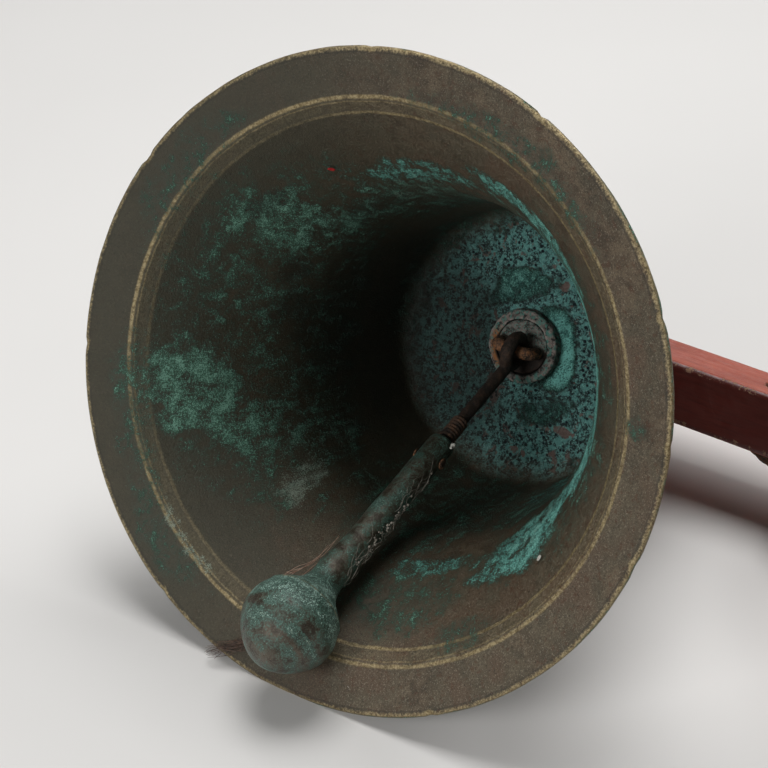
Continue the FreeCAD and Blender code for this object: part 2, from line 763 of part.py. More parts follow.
def rivet_hole(body, name):
    hole = new_sketch(body, "XZ_Plane", name)
    add_circle(hole, "-rod_offset", "-rivet_drop", "rivet_radius")
    cut_through(body, hole, name + "_cut")


def clapper_rod():
    """Iron rod bent into an eye round the loop's bar; its tail is set in the bronze shank."""
    body = new_body("clapper_rod")
    stem_top = f"({EYE_CENTRE_UP} - sqrt({EYE_MEAN_RADIUS} ^ 2 - rod_offset ^ 2))"
    stem = new_sketch(body, "XY_Plane", "rod_section", stem_top)
    add_circle(stem, "-rod_offset", "0", "rod_radius")
    pad(body, stem, "rod", f"rod_tail + {stem_top}", downwards=True)
    eye = new_sketch(body, "XY_Plane", "eye_section", EYE_CENTRE_UP)
    add_circle(eye, EYE_MEAN_RADIUS, "0", "rod_radius")
    revolve(body, eye, "eye")
    rivet_hole(body, "rod_rivet_hole")
    keep_on_clapper(body, "clapper_rod")


def rod_lashing():
    """Iron wire bound round the rod just above the shank, as a sleeve with one ridge for each turn."""
    body = new_body("rod_lashing")
    profile = new_sketch(body, "XZ_Plane", "lashing_profile")
    turns = int(number("lashing_turns"))
    outside = "(rod_radius + lashing_groove - rod_offset)"
    points = [(outside, f"-(lashing_start + {turn} * 2 * lashing_wire_radius)") for turn in range(turns + 1)]
    inside = "(rod_radius - rod_offset)"
    points.append((inside, f"-(lashing_start + {turns} * 2 * lashing_wire_radius)"))
    points.append((inside, "-lashing_start"))
    add_outline(profile, points, {turn: ("lashing_turn_radius", -1) for turn in range(turns)})
    axis = new_sketch(body, "XZ_Plane", "lashing_axis")
    add_outline(axis, [("-rod_offset", "0"), ("-rod_offset", "-rod_tail")], closed=False)
    revolve(body, profile, "lashing_sleeve", (axis, ["Edge1"]))
    keep_on_clapper(body, "rod_lashing")


def clapper_bob():
    """Bronze shank and ball in one casting: blunt top, flared neck, ridge, belt and blunt tapered end."""
    body = new_body("clapper_bob")
    profile = new_sketch(body, "XZ_Plane", "bob_profile")
    neck_up = f"(sqrt(ball_radius ^ 2 - neck_radius ^ 2) - {BALL_DROP})"
    end_up = f"(ball_end_cut - ball_radius - {BALL_DROP})"
    end_curve = "((ball_end_radius ^ 2 + ball_end_rise ^ 2) / (2 * ball_end_rise))"
    points = [
        ("rod_radius", "-shank_top"),
        ("shank_radius - shank_rounding", "-shank_top"),
        ("shank_radius", "-(shank_top + shank_rounding)"),
        ("shank_radius", f"shank_taper_length - {BALL_DROP}"),
        ("shank_foot_radius", f"neck_length - {BALL_DROP}"),
        ("neck_radius", neck_up),
        ("sqrt(ball_radius ^ 2 - belt_depth ^ 2)", f"-(belt_depth + {BALL_DROP})"),
        ("ball_end_radius", end_up),
        ("0", f"{end_up} - ball_end_rise"),
        ("0", "-rod_tail"),
        ("rod_radius", "-rod_tail"),
    ]
    arcs = {
        1: ("shank_rounding", -1),
        4: ("neck_curve", 1),
        5: ("ball_radius", -1),
        6: ("flank_curve", -1),
        7: (end_curve, -1),
    }
    add_outline(profile, points, arcs)
    revolve(body, profile, "bob_turned")
    ridge = new_sketch(body, "XZ_Plane", "ridge_profile")
    add_circle(ridge, "sqrt(ball_radius ^ 2 - ridge_height ^ 2) - ridge_sink",
               f"ridge_height - {BALL_DROP}", "ridge_radius")
    revolve(body, ridge, "ridge")
    hole = new_sketch(body, "XZ_Plane", "bob_rivet_hole")
    add_circle(hole, "0", "-rivet_drop", "rivet_radius")
    cut_through(body, hole, "bob_rivet_cut")
    keep_on_clapper(body, "clapper_bob", Vector(-number("rod_offset"), 0, 0))


def clapper_rivet():
    """Rivet through the shank and the rod, with a low domed head at each end."""
    body = new_body("clapper_rivet")
    profile = new_sketch(body, "XZ_Plane", "rivet_profile")
    shoulder = "(shank_radius + rivet_head_height / 2)"
    tip = "(shank_radius + rivet_head_height)"
    points = [
        ("0", f"-{tip}"),
        ("rivet_radius", f"-{tip}"),
        ("rivet_head_radius", f"-{shoulder}"),
        ("rivet_head_radius", "-shank_radius"),
        ("rivet_radius", "-shank_radius"),
        ("rivet_radius", "shank_radius"),
        ("rivet_head_radius", "shank_radius"),
        ("rivet_head_radius", shoulder),
        ("rivet_radius", tip),
        ("0", tip),
    ]
    add_outline(profile, points)
    revolve(body, profile, "rivet_turned")
    shift = Vector(-number("rod_offset"), 0, -number("rivet_drop"))
    keep_on_clapper(body, "clapper_rivet", shift, FreeCAD.Rotation(Vector(1, 0, 0), QUARTER_TURN))


bell()
crown_hub()
eye_bolt()
round_washer("crown_pad", CROWN_TOP, "pad_thickness", "pad_radius", BELL_BOLT_HOLE)
square_piece("top_plate", ARM_TOP, "top_plate_thickness", "top_plate_side", BELL_BOLT_HOLE)
square_piece("top_nut", NUT_SEAT, "nut_height", "nut_side", "bolt_radius")
square_piece("jam_nut", f"({NUT_SEAT} + nut_height)", "jam_nut_height", "nut_side", "bolt_radius")
arm()
wall_board()
tenon_wedges()
tenon_peg()
brace()
brace_bolt()
brace_washer()
brace_nut()
brace_screws()
board_screw_holes()
clapper_rod()
rod_lashing()
clapper_bob()
clapper_rivet()
doc.recompute()

for item in doc.Objects:
    if "Invalid" in item.State or "Error" in item.State:
        raise RuntimeError(f"{item.Label} is {item.State}")
for node in NODES:
    if node.Shape.isNull() or not node.Shape.isValid():
        raise RuntimeError(f"{node.Label} has no valid shape")

os.makedirs("parts", exist_ok=True)
for node in NODES:
    node.Shape.exportStep(f"parts/{node.Label}.step")
    print(f"{node.Label}: {len(node.Shape.Solids)} solids, {node.Shape.Volume / CUBIC_MM_PER_CM:.1f} cm3")
print(f"the clapper rests {rest_tilt():.3f} degrees from plumb")
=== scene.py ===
"""The looks of the wall mounted bell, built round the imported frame.

Lengths are metres unless a name or a comment says mm.
"""

import json
import math
import random
from itertools import product

import bmesh
import bpy
import numpy as np
from mathutils import Matrix, Vector

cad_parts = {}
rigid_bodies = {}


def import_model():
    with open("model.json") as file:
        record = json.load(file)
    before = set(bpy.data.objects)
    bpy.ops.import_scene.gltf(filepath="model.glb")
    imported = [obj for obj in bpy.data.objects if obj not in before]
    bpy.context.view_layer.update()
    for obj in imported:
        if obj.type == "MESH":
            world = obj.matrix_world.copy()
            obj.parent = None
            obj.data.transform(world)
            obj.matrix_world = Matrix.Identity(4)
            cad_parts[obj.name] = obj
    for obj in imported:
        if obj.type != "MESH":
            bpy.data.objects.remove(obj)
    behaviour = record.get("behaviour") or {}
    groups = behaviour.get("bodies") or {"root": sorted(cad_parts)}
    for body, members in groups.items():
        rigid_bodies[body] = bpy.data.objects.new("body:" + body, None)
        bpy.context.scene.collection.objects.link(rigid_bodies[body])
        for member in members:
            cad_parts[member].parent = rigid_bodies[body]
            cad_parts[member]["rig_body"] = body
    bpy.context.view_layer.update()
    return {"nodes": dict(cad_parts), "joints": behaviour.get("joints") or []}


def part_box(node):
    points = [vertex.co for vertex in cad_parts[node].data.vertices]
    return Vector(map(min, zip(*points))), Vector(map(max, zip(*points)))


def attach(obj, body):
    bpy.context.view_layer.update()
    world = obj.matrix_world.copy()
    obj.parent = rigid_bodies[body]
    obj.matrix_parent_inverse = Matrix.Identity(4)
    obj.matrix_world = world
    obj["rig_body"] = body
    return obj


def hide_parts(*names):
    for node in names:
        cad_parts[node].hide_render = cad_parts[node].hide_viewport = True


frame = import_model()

MM = 0.001
NODES = frame["nodes"]
FIXED, MOVING = "bracket_and_bell", "clapper"

# ---------------------------------------------------------------- where things are, from the frame

bell_low, bell_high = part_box("bell")
MOUTH = Vector(((bell_low.x + bell_high.x) / 2, (bell_low.y + bell_high.y) / 2, bell_low.z))
RIM_RADIUS = (bell_high.x - bell_low.x) / 2
swing = frame["joints"][0]
PIVOT = Vector(swing["pos_m"])
BALL_RADIUS = (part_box("clapper_bob")[1].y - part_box("clapper_bob")[0].y) / 2

# The way up while the bell lies on its rim, and the camera's own axes
UP = Vector((0.918, -0.017, -0.396)).normalized()
CAMERA_RIGHT = Vector((0.22681, 0.84158, 0.49021))
CAMERA_UP = Vector((0.93842, -0.32353, 0.12124))
CAMERA_BACK = Vector((0.26063, 0.43253, -0.86313))
CAMERA_OFFSET = (0.01426, 0.00179, 0.955)
LENS_MM, SENSOR_MM = 94.58, 36.0


# ---------------------------------------------------------------- noise, for shapes and stains


def hashed(cells, seed):
    """A repeatable number from -1 to 1 for each whole-number cell."""
    mixed = (cells[:, 0] * 73856093) ^ (cells[:, 1] * 19349663) ^ (cells[:, 2] * 83492791)
    mixed = (mixed ^ (seed * 265443576)) & 0xFFFFFFFF
    mixed = ((mixed ^ (mixed >> 13)) * 1274126177) & 0xFFFFFFFF
    mixed = ((mixed ^ (mixed >> 16)) * 668265263) & 0xFFFFFFFF
    return (mixed >> 8) / 0x7FFFFF - 1.0


def noise(points, scale, seed=0, octaves=1):
    """Smooth solid noise from -1 to 1 at each point; scale is the size of its lumps."""
    total = np.zeros(len(points))
    strength, weight = 1.0, 0.0
    for octave in range(octaves):
        cells = points / scale + 31.7
        base = np.floor(cells).astype(np.int64)
        part = cells - base
        part = part * part * (3 - 2 * part)
        layer = np.zeros(len(points))
        for corner in product((0, 1), repeat=3):
            share = np.prod(np.where(corner, part, 1 - part), axis=1)
            layer += share * hashed(base + np.array(corner), seed + octave)
        total += strength * layer
        weight += strength
        strength /= 2
        scale = scale / 2
    return total / weight


def ease(low, high, value):
    """0 below low, 1 above high, smooth between; low may be the larger."""
    share = np.clip((value - low) / (high - low), 0, 1)
    return share * share * (3 - 2 * share)


# ---------------------------------------------------------------- mesh helpers


def link(name, data):
    piece = bpy.data.objects.new(name, data)
    bpy.context.scene.collection.objects.link(piece)
    return piece


def points_of(mesh):
    found = np.empty(len(mesh.vertices) * 3)
    mesh.vertices.foreach_get("co", found)
    return found.reshape(-1, 3)


def normals_of(mesh):
    found = np.empty(len(mesh.vertices) * 3)
    mesh.vertex_normals.foreach_get("vector", found)
    return found.reshape(-1, 3)


def set_points(mesh, points):
    mesh.vertices.foreach_set("co", points.astype(np.float32).ravel())
    mesh.update()


def add_mask(mesh, name, values):
    layer = mesh.attributes.new(name, "FLOAT", "POINT")
    layer.data.foreach_set("value", np.clip(values, 0, 1).astype(np.float32))


def relaxed(mesh, points, rounds):
    """The points after each has moved to the middle of its neighbours, several times."""
    edges = np.empty(len(mesh.edges) * 2, np.int32)
    mesh.edges.foreach_get("vertices", edges)
    first, second = edges.reshape(-1, 2).T
    count = np.bincount(np.concatenate((first, second)), minlength=len(points))[:, None]
    for _ in range(rounds):
        total = np.stack(
            [
                np.bincount(first, points[second, k], len(points))
                + np.bincount(second, points[first, k], len(points))
                for k in range(3)
            ],
            axis=1,
        )
        points = total / np.maximum(count, 1)
    return points


def finish_piece(piece, body, slot, material, *replaced):
    piece.data.materials.clear()
    piece.data.materials.append(material)
    if replaced:
        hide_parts(*replaced)
    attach(piece, body)
    return piece


def weathered(node, name, voxel, lumps, slot, material, shape=None, paint=None):
    """A piece with a CAD node's own shape, skinned finely, its surface worn and lumpy.

    Voxel and lumps are in mm, lumps as (size, height) pairs. shape(points, normals) adds its own
    move along the normal, and paint(mesh) adds masks.
    """
    source = NODES[node]
    draft = link(name, source.data.copy())
    skin = draft.modifiers.new("skin", "REMESH")
    skin.mode = "VOXEL"
    skin.voxel_size = voxel * MM
    soften = draft.modifiers.new("soften", "SMOOTH")
    soften.factor = 0.5
    soften.iterations = 2
    graph = bpy.context.evaluated_depsgraph_get()
    mesh = bpy.data.meshes.new_from_object(draft.evaluated_get(graph))
    draft.modifiers.clear()
    draft.data = mesh
    points = points_of(mesh)
    normals = normals_of(mesh)
    flat = relaxed(mesh, points, 14)
    edge = np.einsum("ij,ij->i", points - flat, normals) / MM
    add_mask(mesh, "edge", ease(0.02, 0.45, edge))
    add_mask(mesh, "hollow", ease(-0.02, -0.35, edge))
    move = np.zeros(len(points))
    for number, (size, height) in enumerate(lumps):
        move += height * MM * noise(points, size * MM, seed=5 + 7 * number, octaves=2)
    if shape:
        move += shape(points, normals)
    set_points(mesh, points + normals * move[:, None])
    mesh.shade_smooth()
    if paint:
        paint(mesh)
    return finish_piece(draft, NODES[node]["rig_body"], slot, material, node)


def strands(name, paths, radius, body, material):
    """Thin hairs or threads in one piece, each through its own points and tapering to its end."""
    curve = bpy.data.curves.new(name, "CURVE")
    curve.dimensions = "3D"
    curve.bevel_depth = radius
    curve.bevel_resolution = 1
    curve.resolution_u = 5
    for path in paths:
        line = curve.splines.new("NURBS")
        line.points.add(len(path) - 1)
        for number, (target, point) in enumerate(zip(line.points, path)):
            target.co = (*point, 1.0)
            target.radius = 1.0 - 0.6 * number / (len(path) - 1)
        line.order_u = 3
        line.use_endpoint_u = True
    curve.materials.append(material)
    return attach(link(name, curve), body)


def crumbs(name, places, body, material):
    """Small ragged lumps in one piece; places are (centre, radius) pairs."""
    mesh = bmesh.new()
    for centre, radius in places:
        made = bmesh.ops.create_icosphere(mesh, subdivisions=2, radius=1.0)["verts"]
        rough = noise(np.array([v.co + centre * 900 for v in made]), 0.8, 51, 2)
        for vertex, bump in zip(made, rough):
            vertex.co = centre + vertex.co * radius * (1 + 0.55 * bump)
    data = bpy.data.meshes.new(name)
    mesh.to_mesh(data)
    mesh.free()
    data.materials.append(material)
    data.shade_smooth()
    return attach(link(name, data), body)


FLAKE_GAP = 0.05 * MM
FLAKE_CURL = 0.05


def flake(name, centre, facing, outline, thickness, body, material):
    """A thin curled chip lying on a surface that faces that way; its ragged outline is in mm."""
    facing = facing.normalized()
    across = facing.orthogonal().normalized()
    up = facing.cross(across)
    mesh = bmesh.new()
    layers = []
    for lift in (FLAKE_GAP, thickness):
        layer = []
        for right, high in outline:
            curled = lift + FLAKE_CURL * (right * right + high * high) * MM
            layer.append(mesh.verts.new(centre + (across * right + up * high) * MM + facing * curled))
        layers.append(layer)
    low, top = layers
    mesh.faces.new(list(reversed(low)))
    mesh.faces.new(top)
    for number in range(len(outline)):
        after = (number + 1) % len(outline)
        mesh.faces.new((low[number], low[after], top[after], top[number]))
    soft = thickness * 0.3
    bmesh.ops.bevel(mesh, geom=mesh.edges[:], offset=soft, segments=2, affect="EDGES", profile=0.5)
    data = bpy.data.meshes.new(name)
    mesh.to_mesh(data)
    mesh.free()
    data.materials.append(material)
    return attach(link(name, data), body)


# ---------------------------------------------------------------- material helpers


class Paint:
    """Builds one node material. Sizes of patterns are in mm, in the object's own coordinates."""

    def __init__(self, name):
        self.material = bpy.data.materials.new(name)
        self.material.use_nodes = True
        self.tree = self.material.node_tree
        self.tree.nodes.clear()
        self.place = self.node("ShaderNodeTexCoord").outputs["Object"]

    def node(self, kind, **settings):
        made = self.tree.nodes.new(kind)
        for key, value in settings.items():
            setattr(made, key, value)
        return made

    def feed(self, socket, value):
        if isinstance(value, bpy.types.NodeSocket):
            self.tree.links.new(value, socket)
        elif isinstance(value, tuple) and len(value) == 3 and socket.type == "RGBA":
            socket.default_value = (*value, 1.0)
        else:
            socket.default_value = value

    def stretched(self, scale):
        made = self.node("ShaderNodeMapping")
        self.feed(made.inputs["Vector"], self.place)
        made.inputs["Scale"].default_value = scale
        return made.outputs["Vector"]

    def noise(self, size_mm, detail=3.0, rough=0.55, place=None, warp=0.0):
        made = self.node("ShaderNodeTexNoise")
        self.feed(made.inputs["Vector"], place or self.place)
        made.inputs["Scale"].default_value = 1 / (size_mm * MM)
        made.inputs["Detail"].default_value = detail
        made.inputs["Roughness"].default_value = rough
        made.inputs["Distortion"].default_value = warp
        return made.outputs["Fac"]

    def cells(self, size_mm, feature="F1"):
        made = self.node("ShaderNodeTexVoronoi", feature=feature)
        self.feed(made.inputs["Vector"], self.place)
        made.inputs["Scale"].default_value = 1 / (size_mm * MM)
        return made.outputs["Distance"]

    def mask(self, name):
        return self.node("ShaderNodeAttribute", attribute_name=name).outputs["Fac"]

    def math(self, operation, first, second=0.0):
        made = self.node("ShaderNodeMath", operation=operation)
        self.feed(made.inputs[0], first)
        self.feed(made.inputs[1], second)
        return made.outputs[0]

    def most(self, first, second):
        return self.math("MAXIMUM", first, second)

    def left(self, value):
        """What is left of 1."""
        return self.math("SUBTRACT", 1.0, value)

    def radius_mm(self):
        """Distance from the bell's axis."""
        shifted = self.node("ShaderNodeVectorMath", operation="SUBTRACT")
        self.feed(shifted.inputs[0], self.place)
        shifted.inputs[1].default_value = MOUTH
        flat = self.node("ShaderNodeVectorMath", operation="MULTIPLY")
        self.feed(flat.inputs[0], shifted.outputs[0])
        flat.inputs[1].default_value = (1 / MM, 1 / MM, 0)
        size = self.node("ShaderNodeVectorMath", operation="LENGTH")
        self.feed(size.inputs[0], flat.outputs[0])
        return size.outputs["Value"]

    def ring(self, radius, middle, half):
        """1 on a thin ring, 0 away from it."""
        return self.step(self.math("ABSOLUTE", self.add(radius, -middle)), half * 1.5, half * 0.4)

    def add(self, first, second):
        return self.math("ADD", first, second)

    def times(self, first, second):
        return self.math("MULTIPLY", first, second)

    def step(self, value, low, high, start=0.0, end=1.0):
        made = self.node("ShaderNodeMapRange", interpolation_type="SMOOTHSTEP")
        names = ("Value", "From Min", "From Max", "To Min", "To Max")
        for key, item in zip(names, (value, low, high, start, end)):
            self.feed(made.inputs[key], item)
        return made.outputs["Result"]

    def mix(self, share, first, second):
        made = self.node("ShaderNodeMix", data_type="RGBA")
        self.feed(made.inputs["Factor"], share)
        self.feed(made.inputs[6], first)
        self.feed(made.inputs[7], second)
        return made.outputs[2]

    def blend(self, share, first, second):
        made = self.node("ShaderNodeMix", data_type="FLOAT")
        self.feed(made.inputs[0], share)
        self.feed(made.inputs[2], first)
        self.feed(made.inputs[3], second)
        return made.outputs[0]

    def bump(self, height, depth_mm, under=None):
        made = self.node("ShaderNodeBump")
        made.inputs["Strength"].default_value = 1.0
        made.inputs["Distance"].default_value = depth_mm * MM
        self.feed(made.inputs["Height"], height)
        if under:
            self.feed(made.inputs["Normal"], under)
        return made.outputs["Normal"]

    def finish(self, color, roughness, metallic=0.0, normal=None, **plain):
        shader = self.node("ShaderNodeBsdfPrincipled")
        self.feed(shader.inputs["Base Color"], color)
        self.feed(shader.inputs["Roughness"], roughness)
        self.feed(shader.inputs["Metallic"], metallic)
        if normal:
            self.feed(shader.inputs["Normal"], normal)
        for key, value in plain.items():
            shader.inputs[key.replace("_", " ")].default_value = value
        out = self.node("ShaderNodeOutputMaterial")
        self.tree.links.new(shader.outputs[0], out.inputs["Surface"])
        return self.material


# ---------------------------------------------------------------- materials


def bell_bronze():
    """Brown-grey cast bronze with granular verdigris, chalky bloom, crown crust and worn brass lines."""
    p = Paint("bell_bronze")
    grain = p.noise(1.2, 4, 0.7)
    fine = p.noise(0.6, 2, 0.6)
    cast = p.noise(3.4, 4, 0.68)
    patch = p.noise(9, 5, 0.65, warp=0.5)
    broad = p.noise(42, 3, 0.5)
    streak = p.noise(4.5, 4, 0.65, place=p.stretched((1.0, 1.0, 0.14)))
    inside = p.mask("inside")
    brown = p.mix(p.step(patch, 0.34, 0.68), (0.062, 0.044, 0.026), (0.150, 0.110, 0.068))
    brown = p.mix(p.step(broad, 0.38, 0.68), brown, (0.090, 0.086, 0.056))
    brown = p.mix(p.times(p.step(broad, 0.50, 0.62), 0.5), brown, (0.130, 0.066, 0.038))
    brown = p.mix(p.times(p.step(grain, 0.53, 0.70), 0.6), brown, (0.26, 0.225, 0.165))
    brown = p.mix(p.times(p.step(grain, 0.47, 0.30), 0.8), brown, (0.026, 0.020, 0.012))
    brown = p.mix(p.times(p.step(cast, 0.46, 0.34), 0.55), brown, (0.085, 0.030, 0.013))
    brown = p.mix(p.times(p.step(fine, 0.58, 0.70), 0.42), brown, (0.36, 0.32, 0.25))
    brown = p.mix(p.times(p.step(fine, 0.42, 0.32), 0.55), brown, (0.020, 0.016, 0.010))
    # painted shade: the inside, most of all the lip on its left half, is darkened and greened as if less
    # light fell there
    left_lip_shade = p.step(p.add(p.mask("left_lip_shade"), p.times(p.add(patch, -0.5), 0.7)), 0.05, 0.95)
    shaded_bronze = p.mix(grain, (0.010, 0.010, 0.006), (0.075, 0.072, 0.043))
    brown = p.mix(p.times(left_lip_shade, 0.85), brown, shaded_bronze)

    crumbs = p.mix(p.step(cast, 0.44, 0.58), (0.024, 0.046, 0.046), (0.17, 0.46, 0.42))
    crumbs = p.mix(p.times(p.step(grain, 0.50, 0.62), 0.85), crumbs, (0.32, 0.70, 0.64))
    pinkish = p.mix(grain, (0.07, 0.045, 0.035), (0.42, 0.30, 0.26))
    crumbs = p.mix(p.step(patch, 0.56, 0.63), crumbs, pinkish)
    crumbs = p.mix(p.step(p.cells(4.2), 0.30, 0.16), crumbs, (0.006, 0.016, 0.022))
    color = p.mix(p.mask("crust"), brown, crumbs)

    radius = p.add(p.radius_mm(), p.times(p.add(patch, -0.5), 1.5))
    broken = p.step(p.add(p.times(cast, 0.5), p.times(patch, 0.5)), 0.38, 0.56)
    lines = p.most(p.times(p.ring(radius, 136.6, 0.95), 0.85), p.times(p.ring(radius, 134.4, 0.35), 0.5))
    lines = p.most(lines, p.times(p.ring(radius, 129.3, 0.65), p.mask("inner_line")))
    lines = p.most(lines, p.times(p.ring(radius, 133.4, 3.6), 0.12))
    lines = p.times(p.times(lines, inside), p.step(broken, 0.0, 1.0, 0.55, 1.0))
    rough_mix = p.add(p.times(grain, 0.55), p.times(patch, 0.45))
    worn = p.step(p.add(p.mask("brass"), p.times(p.add(rough_mix, -0.5), 1.1)), 0.34, 0.66)
    worn = p.most(p.times(worn, 0.8), lines)
    metal = p.mix(p.step(grain, 0.35, 0.65), (0.21, 0.155, 0.070), (0.52, 0.42, 0.235))
    color = p.mix(worn, color, metal)
    # a dark line just inside the rim edge: painted shade of a small groove
    outer_rim = p.times(p.ring(radius, 157.2, 0.55), p.left(p.mask("brass")))
    color = p.mix(p.times(outer_rim, 0.6), color, (0.02, 0.017, 0.012))

    verdigris = p.mask("verdigris")
    bright = p.mask("bright")
    ragged = p.add(p.times(p.add(patch, -0.5), 1.3), p.times(p.add(grain, -0.5), 1.2))
    level = p.add(p.most(verdigris, bright), ragged)
    level = p.add(level, p.times(p.add(streak, -0.5), p.times(inside, 1.1)))
    gate = p.step(p.most(verdigris, bright), 0.02, 0.2)
    halo = p.times(p.step(level, 0.06, 0.46), gate)
    green = p.times(p.step(level, 0.34, 0.66), gate)
    specks = p.times(p.step(p.add(level, p.times(p.add(fine, -0.5), 1.8)), 0.60, 0.90), gate)
    color = p.mix(p.times(halo, 0.66), color, p.mix(grain, (0.018, 0.030, 0.020), (0.060, 0.094, 0.068)))
    film = p.mix(bright, (0.054, 0.150, 0.100), (0.095, 0.390, 0.335))
    color = p.mix(p.times(green, 0.9), color, film)
    color = p.mix(specks, color, p.mix(bright, (0.20, 0.41, 0.31), (0.26, 0.74, 0.65)))
    chalk = p.step(p.add(p.mask("chalk"), p.times(p.add(p.add(fine, streak), -1.0), 1.2)), 0.52, 0.84)
    color = p.mix(p.times(chalk, 0.85), color, (0.27, 0.33, 0.26))
    # near black where that mask says: soot spots, and painted shadow on the left of the crown and the deep
    # wall
    color = p.mix(p.times(p.mask("soot_and_shadow"), 0.8), color, (0.010, 0.010, 0.006))

    matt = p.most(p.most(green, specks), p.most(chalk, p.mask("crust")))
    roughness = p.blend(worn, p.step(grain, 0.3, 0.7, 0.36, 0.62), 0.34)
    roughness = p.blend(matt, roughness, 0.88)
    metallic = p.times(p.blend(worn, 0.22, 0.75), p.left(matt))
    height = p.add(p.times(grain, 0.55), p.add(p.times(fine, 0.25), p.times(patch, 0.5)))
    height = p.add(height, p.add(p.times(green, 0.3), p.times(specks, 0.3)))
    normal = p.bump(height, 0.75)
    normal = p.bump(p.times(p.mask("crust"), p.add(cast, p.times(grain, 0.6))), 2.2, normal)
    return p.finish(color, roughness, metallic, normal)


def clapper_bronze():
    """Dark teal verdigris over bronze, with coppery worn streaks, pale specks and grey dust."""
    p = Paint("clapper_bronze")
    grain = p.noise(0.9, 4, 0.7)
    fine = p.noise(0.55, 2, 0.6)
    patch = p.noise(6, 5, 0.65, warp=0.6)
    base = p.mix(p.step(patch, 0.35, 0.65), (0.040, 0.032, 0.022), (0.125, 0.098, 0.070))
    base = p.mix(p.times(p.step(grain, 0.56, 0.70), 0.7), base, (0.27, 0.19, 0.13))
    ragged = p.add(p.times(p.add(patch, -0.5), 1.2), p.times(p.add(grain, -0.5), 0.9))
    level = p.add(p.mask("verdigris"), ragged)
    green = p.step(level, 0.24, 0.56)
    specks = p.step(p.add(level, p.times(p.add(fine, -0.5), 1.7)), 0.70, 0.96)
    film = p.mix(p.step(grain, 0.36, 0.66), (0.024, 0.048, 0.036), (0.085, 0.170, 0.134))
    color = p.mix(green, base, film)
    color = p.mix(specks, color, (0.38, 0.56, 0.48))
    worn = p.step(p.add(p.mask("brass"), p.times(p.add(p.add(grain, patch), -1.0), 0.8)), 0.40, 0.70)
    color = p.mix(p.times(worn, 0.85), color, p.mix(grain, (0.17, 0.125, 0.06), (0.40, 0.31, 0.17)))
    fluff = p.noise(1.9, 5, 0.72, warp=0.8)
    dust = p.step(p.add(p.mask("dust"), p.times(p.add(fluff, -0.5), 2.2)), 0.62, 0.92)
    color = p.mix(dust, color, p.mix(grain, (0.13, 0.115, 0.085), (0.37, 0.36, 0.31)))
    roughness = p.blend(green, p.step(grain, 0.3, 0.7, 0.26, 0.46), 0.44)
    roughness = p.blend(p.most(specks, dust), roughness, 0.80)
    metallic = p.times(p.blend(worn, 0.40, 0.8), p.left(p.most(p.times(green, 0.75), dust)))
    height = p.add(p.times(grain, 0.6), p.times(patch, 0.5))
    height = p.add(height, p.add(p.times(dust, 0.7), p.times(specks, 0.3)))
    return p.finish(color, roughness, metallic, p.bump(height, 0.5))


def rusty_iron(name, orange=1.0, shade=1.0):
    """Pitted iron under brown rust: orange where it is fresh, crusted where a mask says so, with painted
    shadow where another mask says so and painted shade in the hollows.
    """
    p = Paint(name)
    grain = p.noise(0.9, 4, 0.7)
    lumps = p.noise(3.4, 4, 0.65)
    patch = p.noise(9, 3, 0.6, warp=0.5)
    brown = tuple(shade * value for value in (0.075, 0.042, 0.026))
    color = p.mix(p.step(patch, 0.38, 0.64), (0.016, 0.012, 0.009), brown)
    color = p.mix(p.times(p.step(lumps, 0.48, 0.66), 0.85 * orange), color, (0.27, 0.105, 0.034))
    rubbed = p.times(p.mask("edge"), p.times(p.step(grain, 0.42, 0.62), orange))
    color = p.mix(rubbed, color, (0.33, 0.16, 0.075))
    color = p.mix(p.times(p.step(grain, 0.58, 0.72), 0.45 * shade), color, (0.20, 0.13, 0.085))
    # painted shade: near black in the hollows
    color = p.mix(p.times(p.mask("hollow"), 0.6), color, (0.010, 0.007, 0.005))
    scale = p.mix(p.step(lumps, 0.40, 0.58), (0.030, 0.026, 0.022), (0.19, 0.165, 0.145))
    scale = p.mix(p.times(p.step(grain, 0.52, 0.60), 0.7), scale, (0.10, 0.28, 0.235))
    color = p.mix(p.mask("crust"), color, scale)
    # painted shadow, near black, where that mask says: the recess round the loop's root
    color = p.mix(p.mask("soot_and_shadow"), color, p.mix(grain, (0.004, 0.003, 0.002), (0.020, 0.012, 0.008)))
    height = p.add(p.times(grain, 0.5), lumps)
    roughness = p.step(lumps, 0.3, 0.7, 0.92, 0.72)
    metallic = p.step(patch, 0.5, 0.3, 0.0, 0.22)
    return p.finish(color, roughness, metallic, p.bump(height, 0.8))


def crown_crust():
    """Grey-brown crust with dark pits and green crumbs, over the iron hub."""
    p = Paint("hub_crust")
    grain = p.noise(0.9, 4, 0.7)
    cast = p.noise(2.8, 4, 0.68)
    patch = p.noise(8, 4, 0.65, warp=0.6)
    color = p.mix(p.step(patch, 0.36, 0.62), (0.045, 0.038, 0.033), (0.17, 0.14, 0.12))
    color = p.mix(p.times(p.mask("edge"), p.step(cast, 0.40, 0.58)), color, (0.34, 0.29, 0.26))
    color = p.mix(p.step(cast, 0.50, 0.40), color, (0.020, 0.022, 0.020))
    color = p.mix(p.times(p.step(p.noise(2.2, 3, 0.6), 0.50, 0.60), 0.85), color, (0.075, 0.22, 0.185))
    color = p.mix(p.times(p.step(grain, 0.60, 0.72), 0.5), color, (0.34, 0.31, 0.27))
    rust = p.times(p.mask("rust"), p.step(cast, 0.40, 0.56))
    color = p.mix(rust, color, (0.30, 0.115, 0.030))
    # painted shadow, near black, in the recess where that mask says
    color = p.mix(p.mask("soot_and_shadow"), color, (0.008, 0.006, 0.004))
    height = p.add(p.times(grain, 0.6), cast)
    return p.finish(color, p.step(cast, 0.3, 0.7, 0.92, 0.74), 0.0, p.bump(height, 1.1))


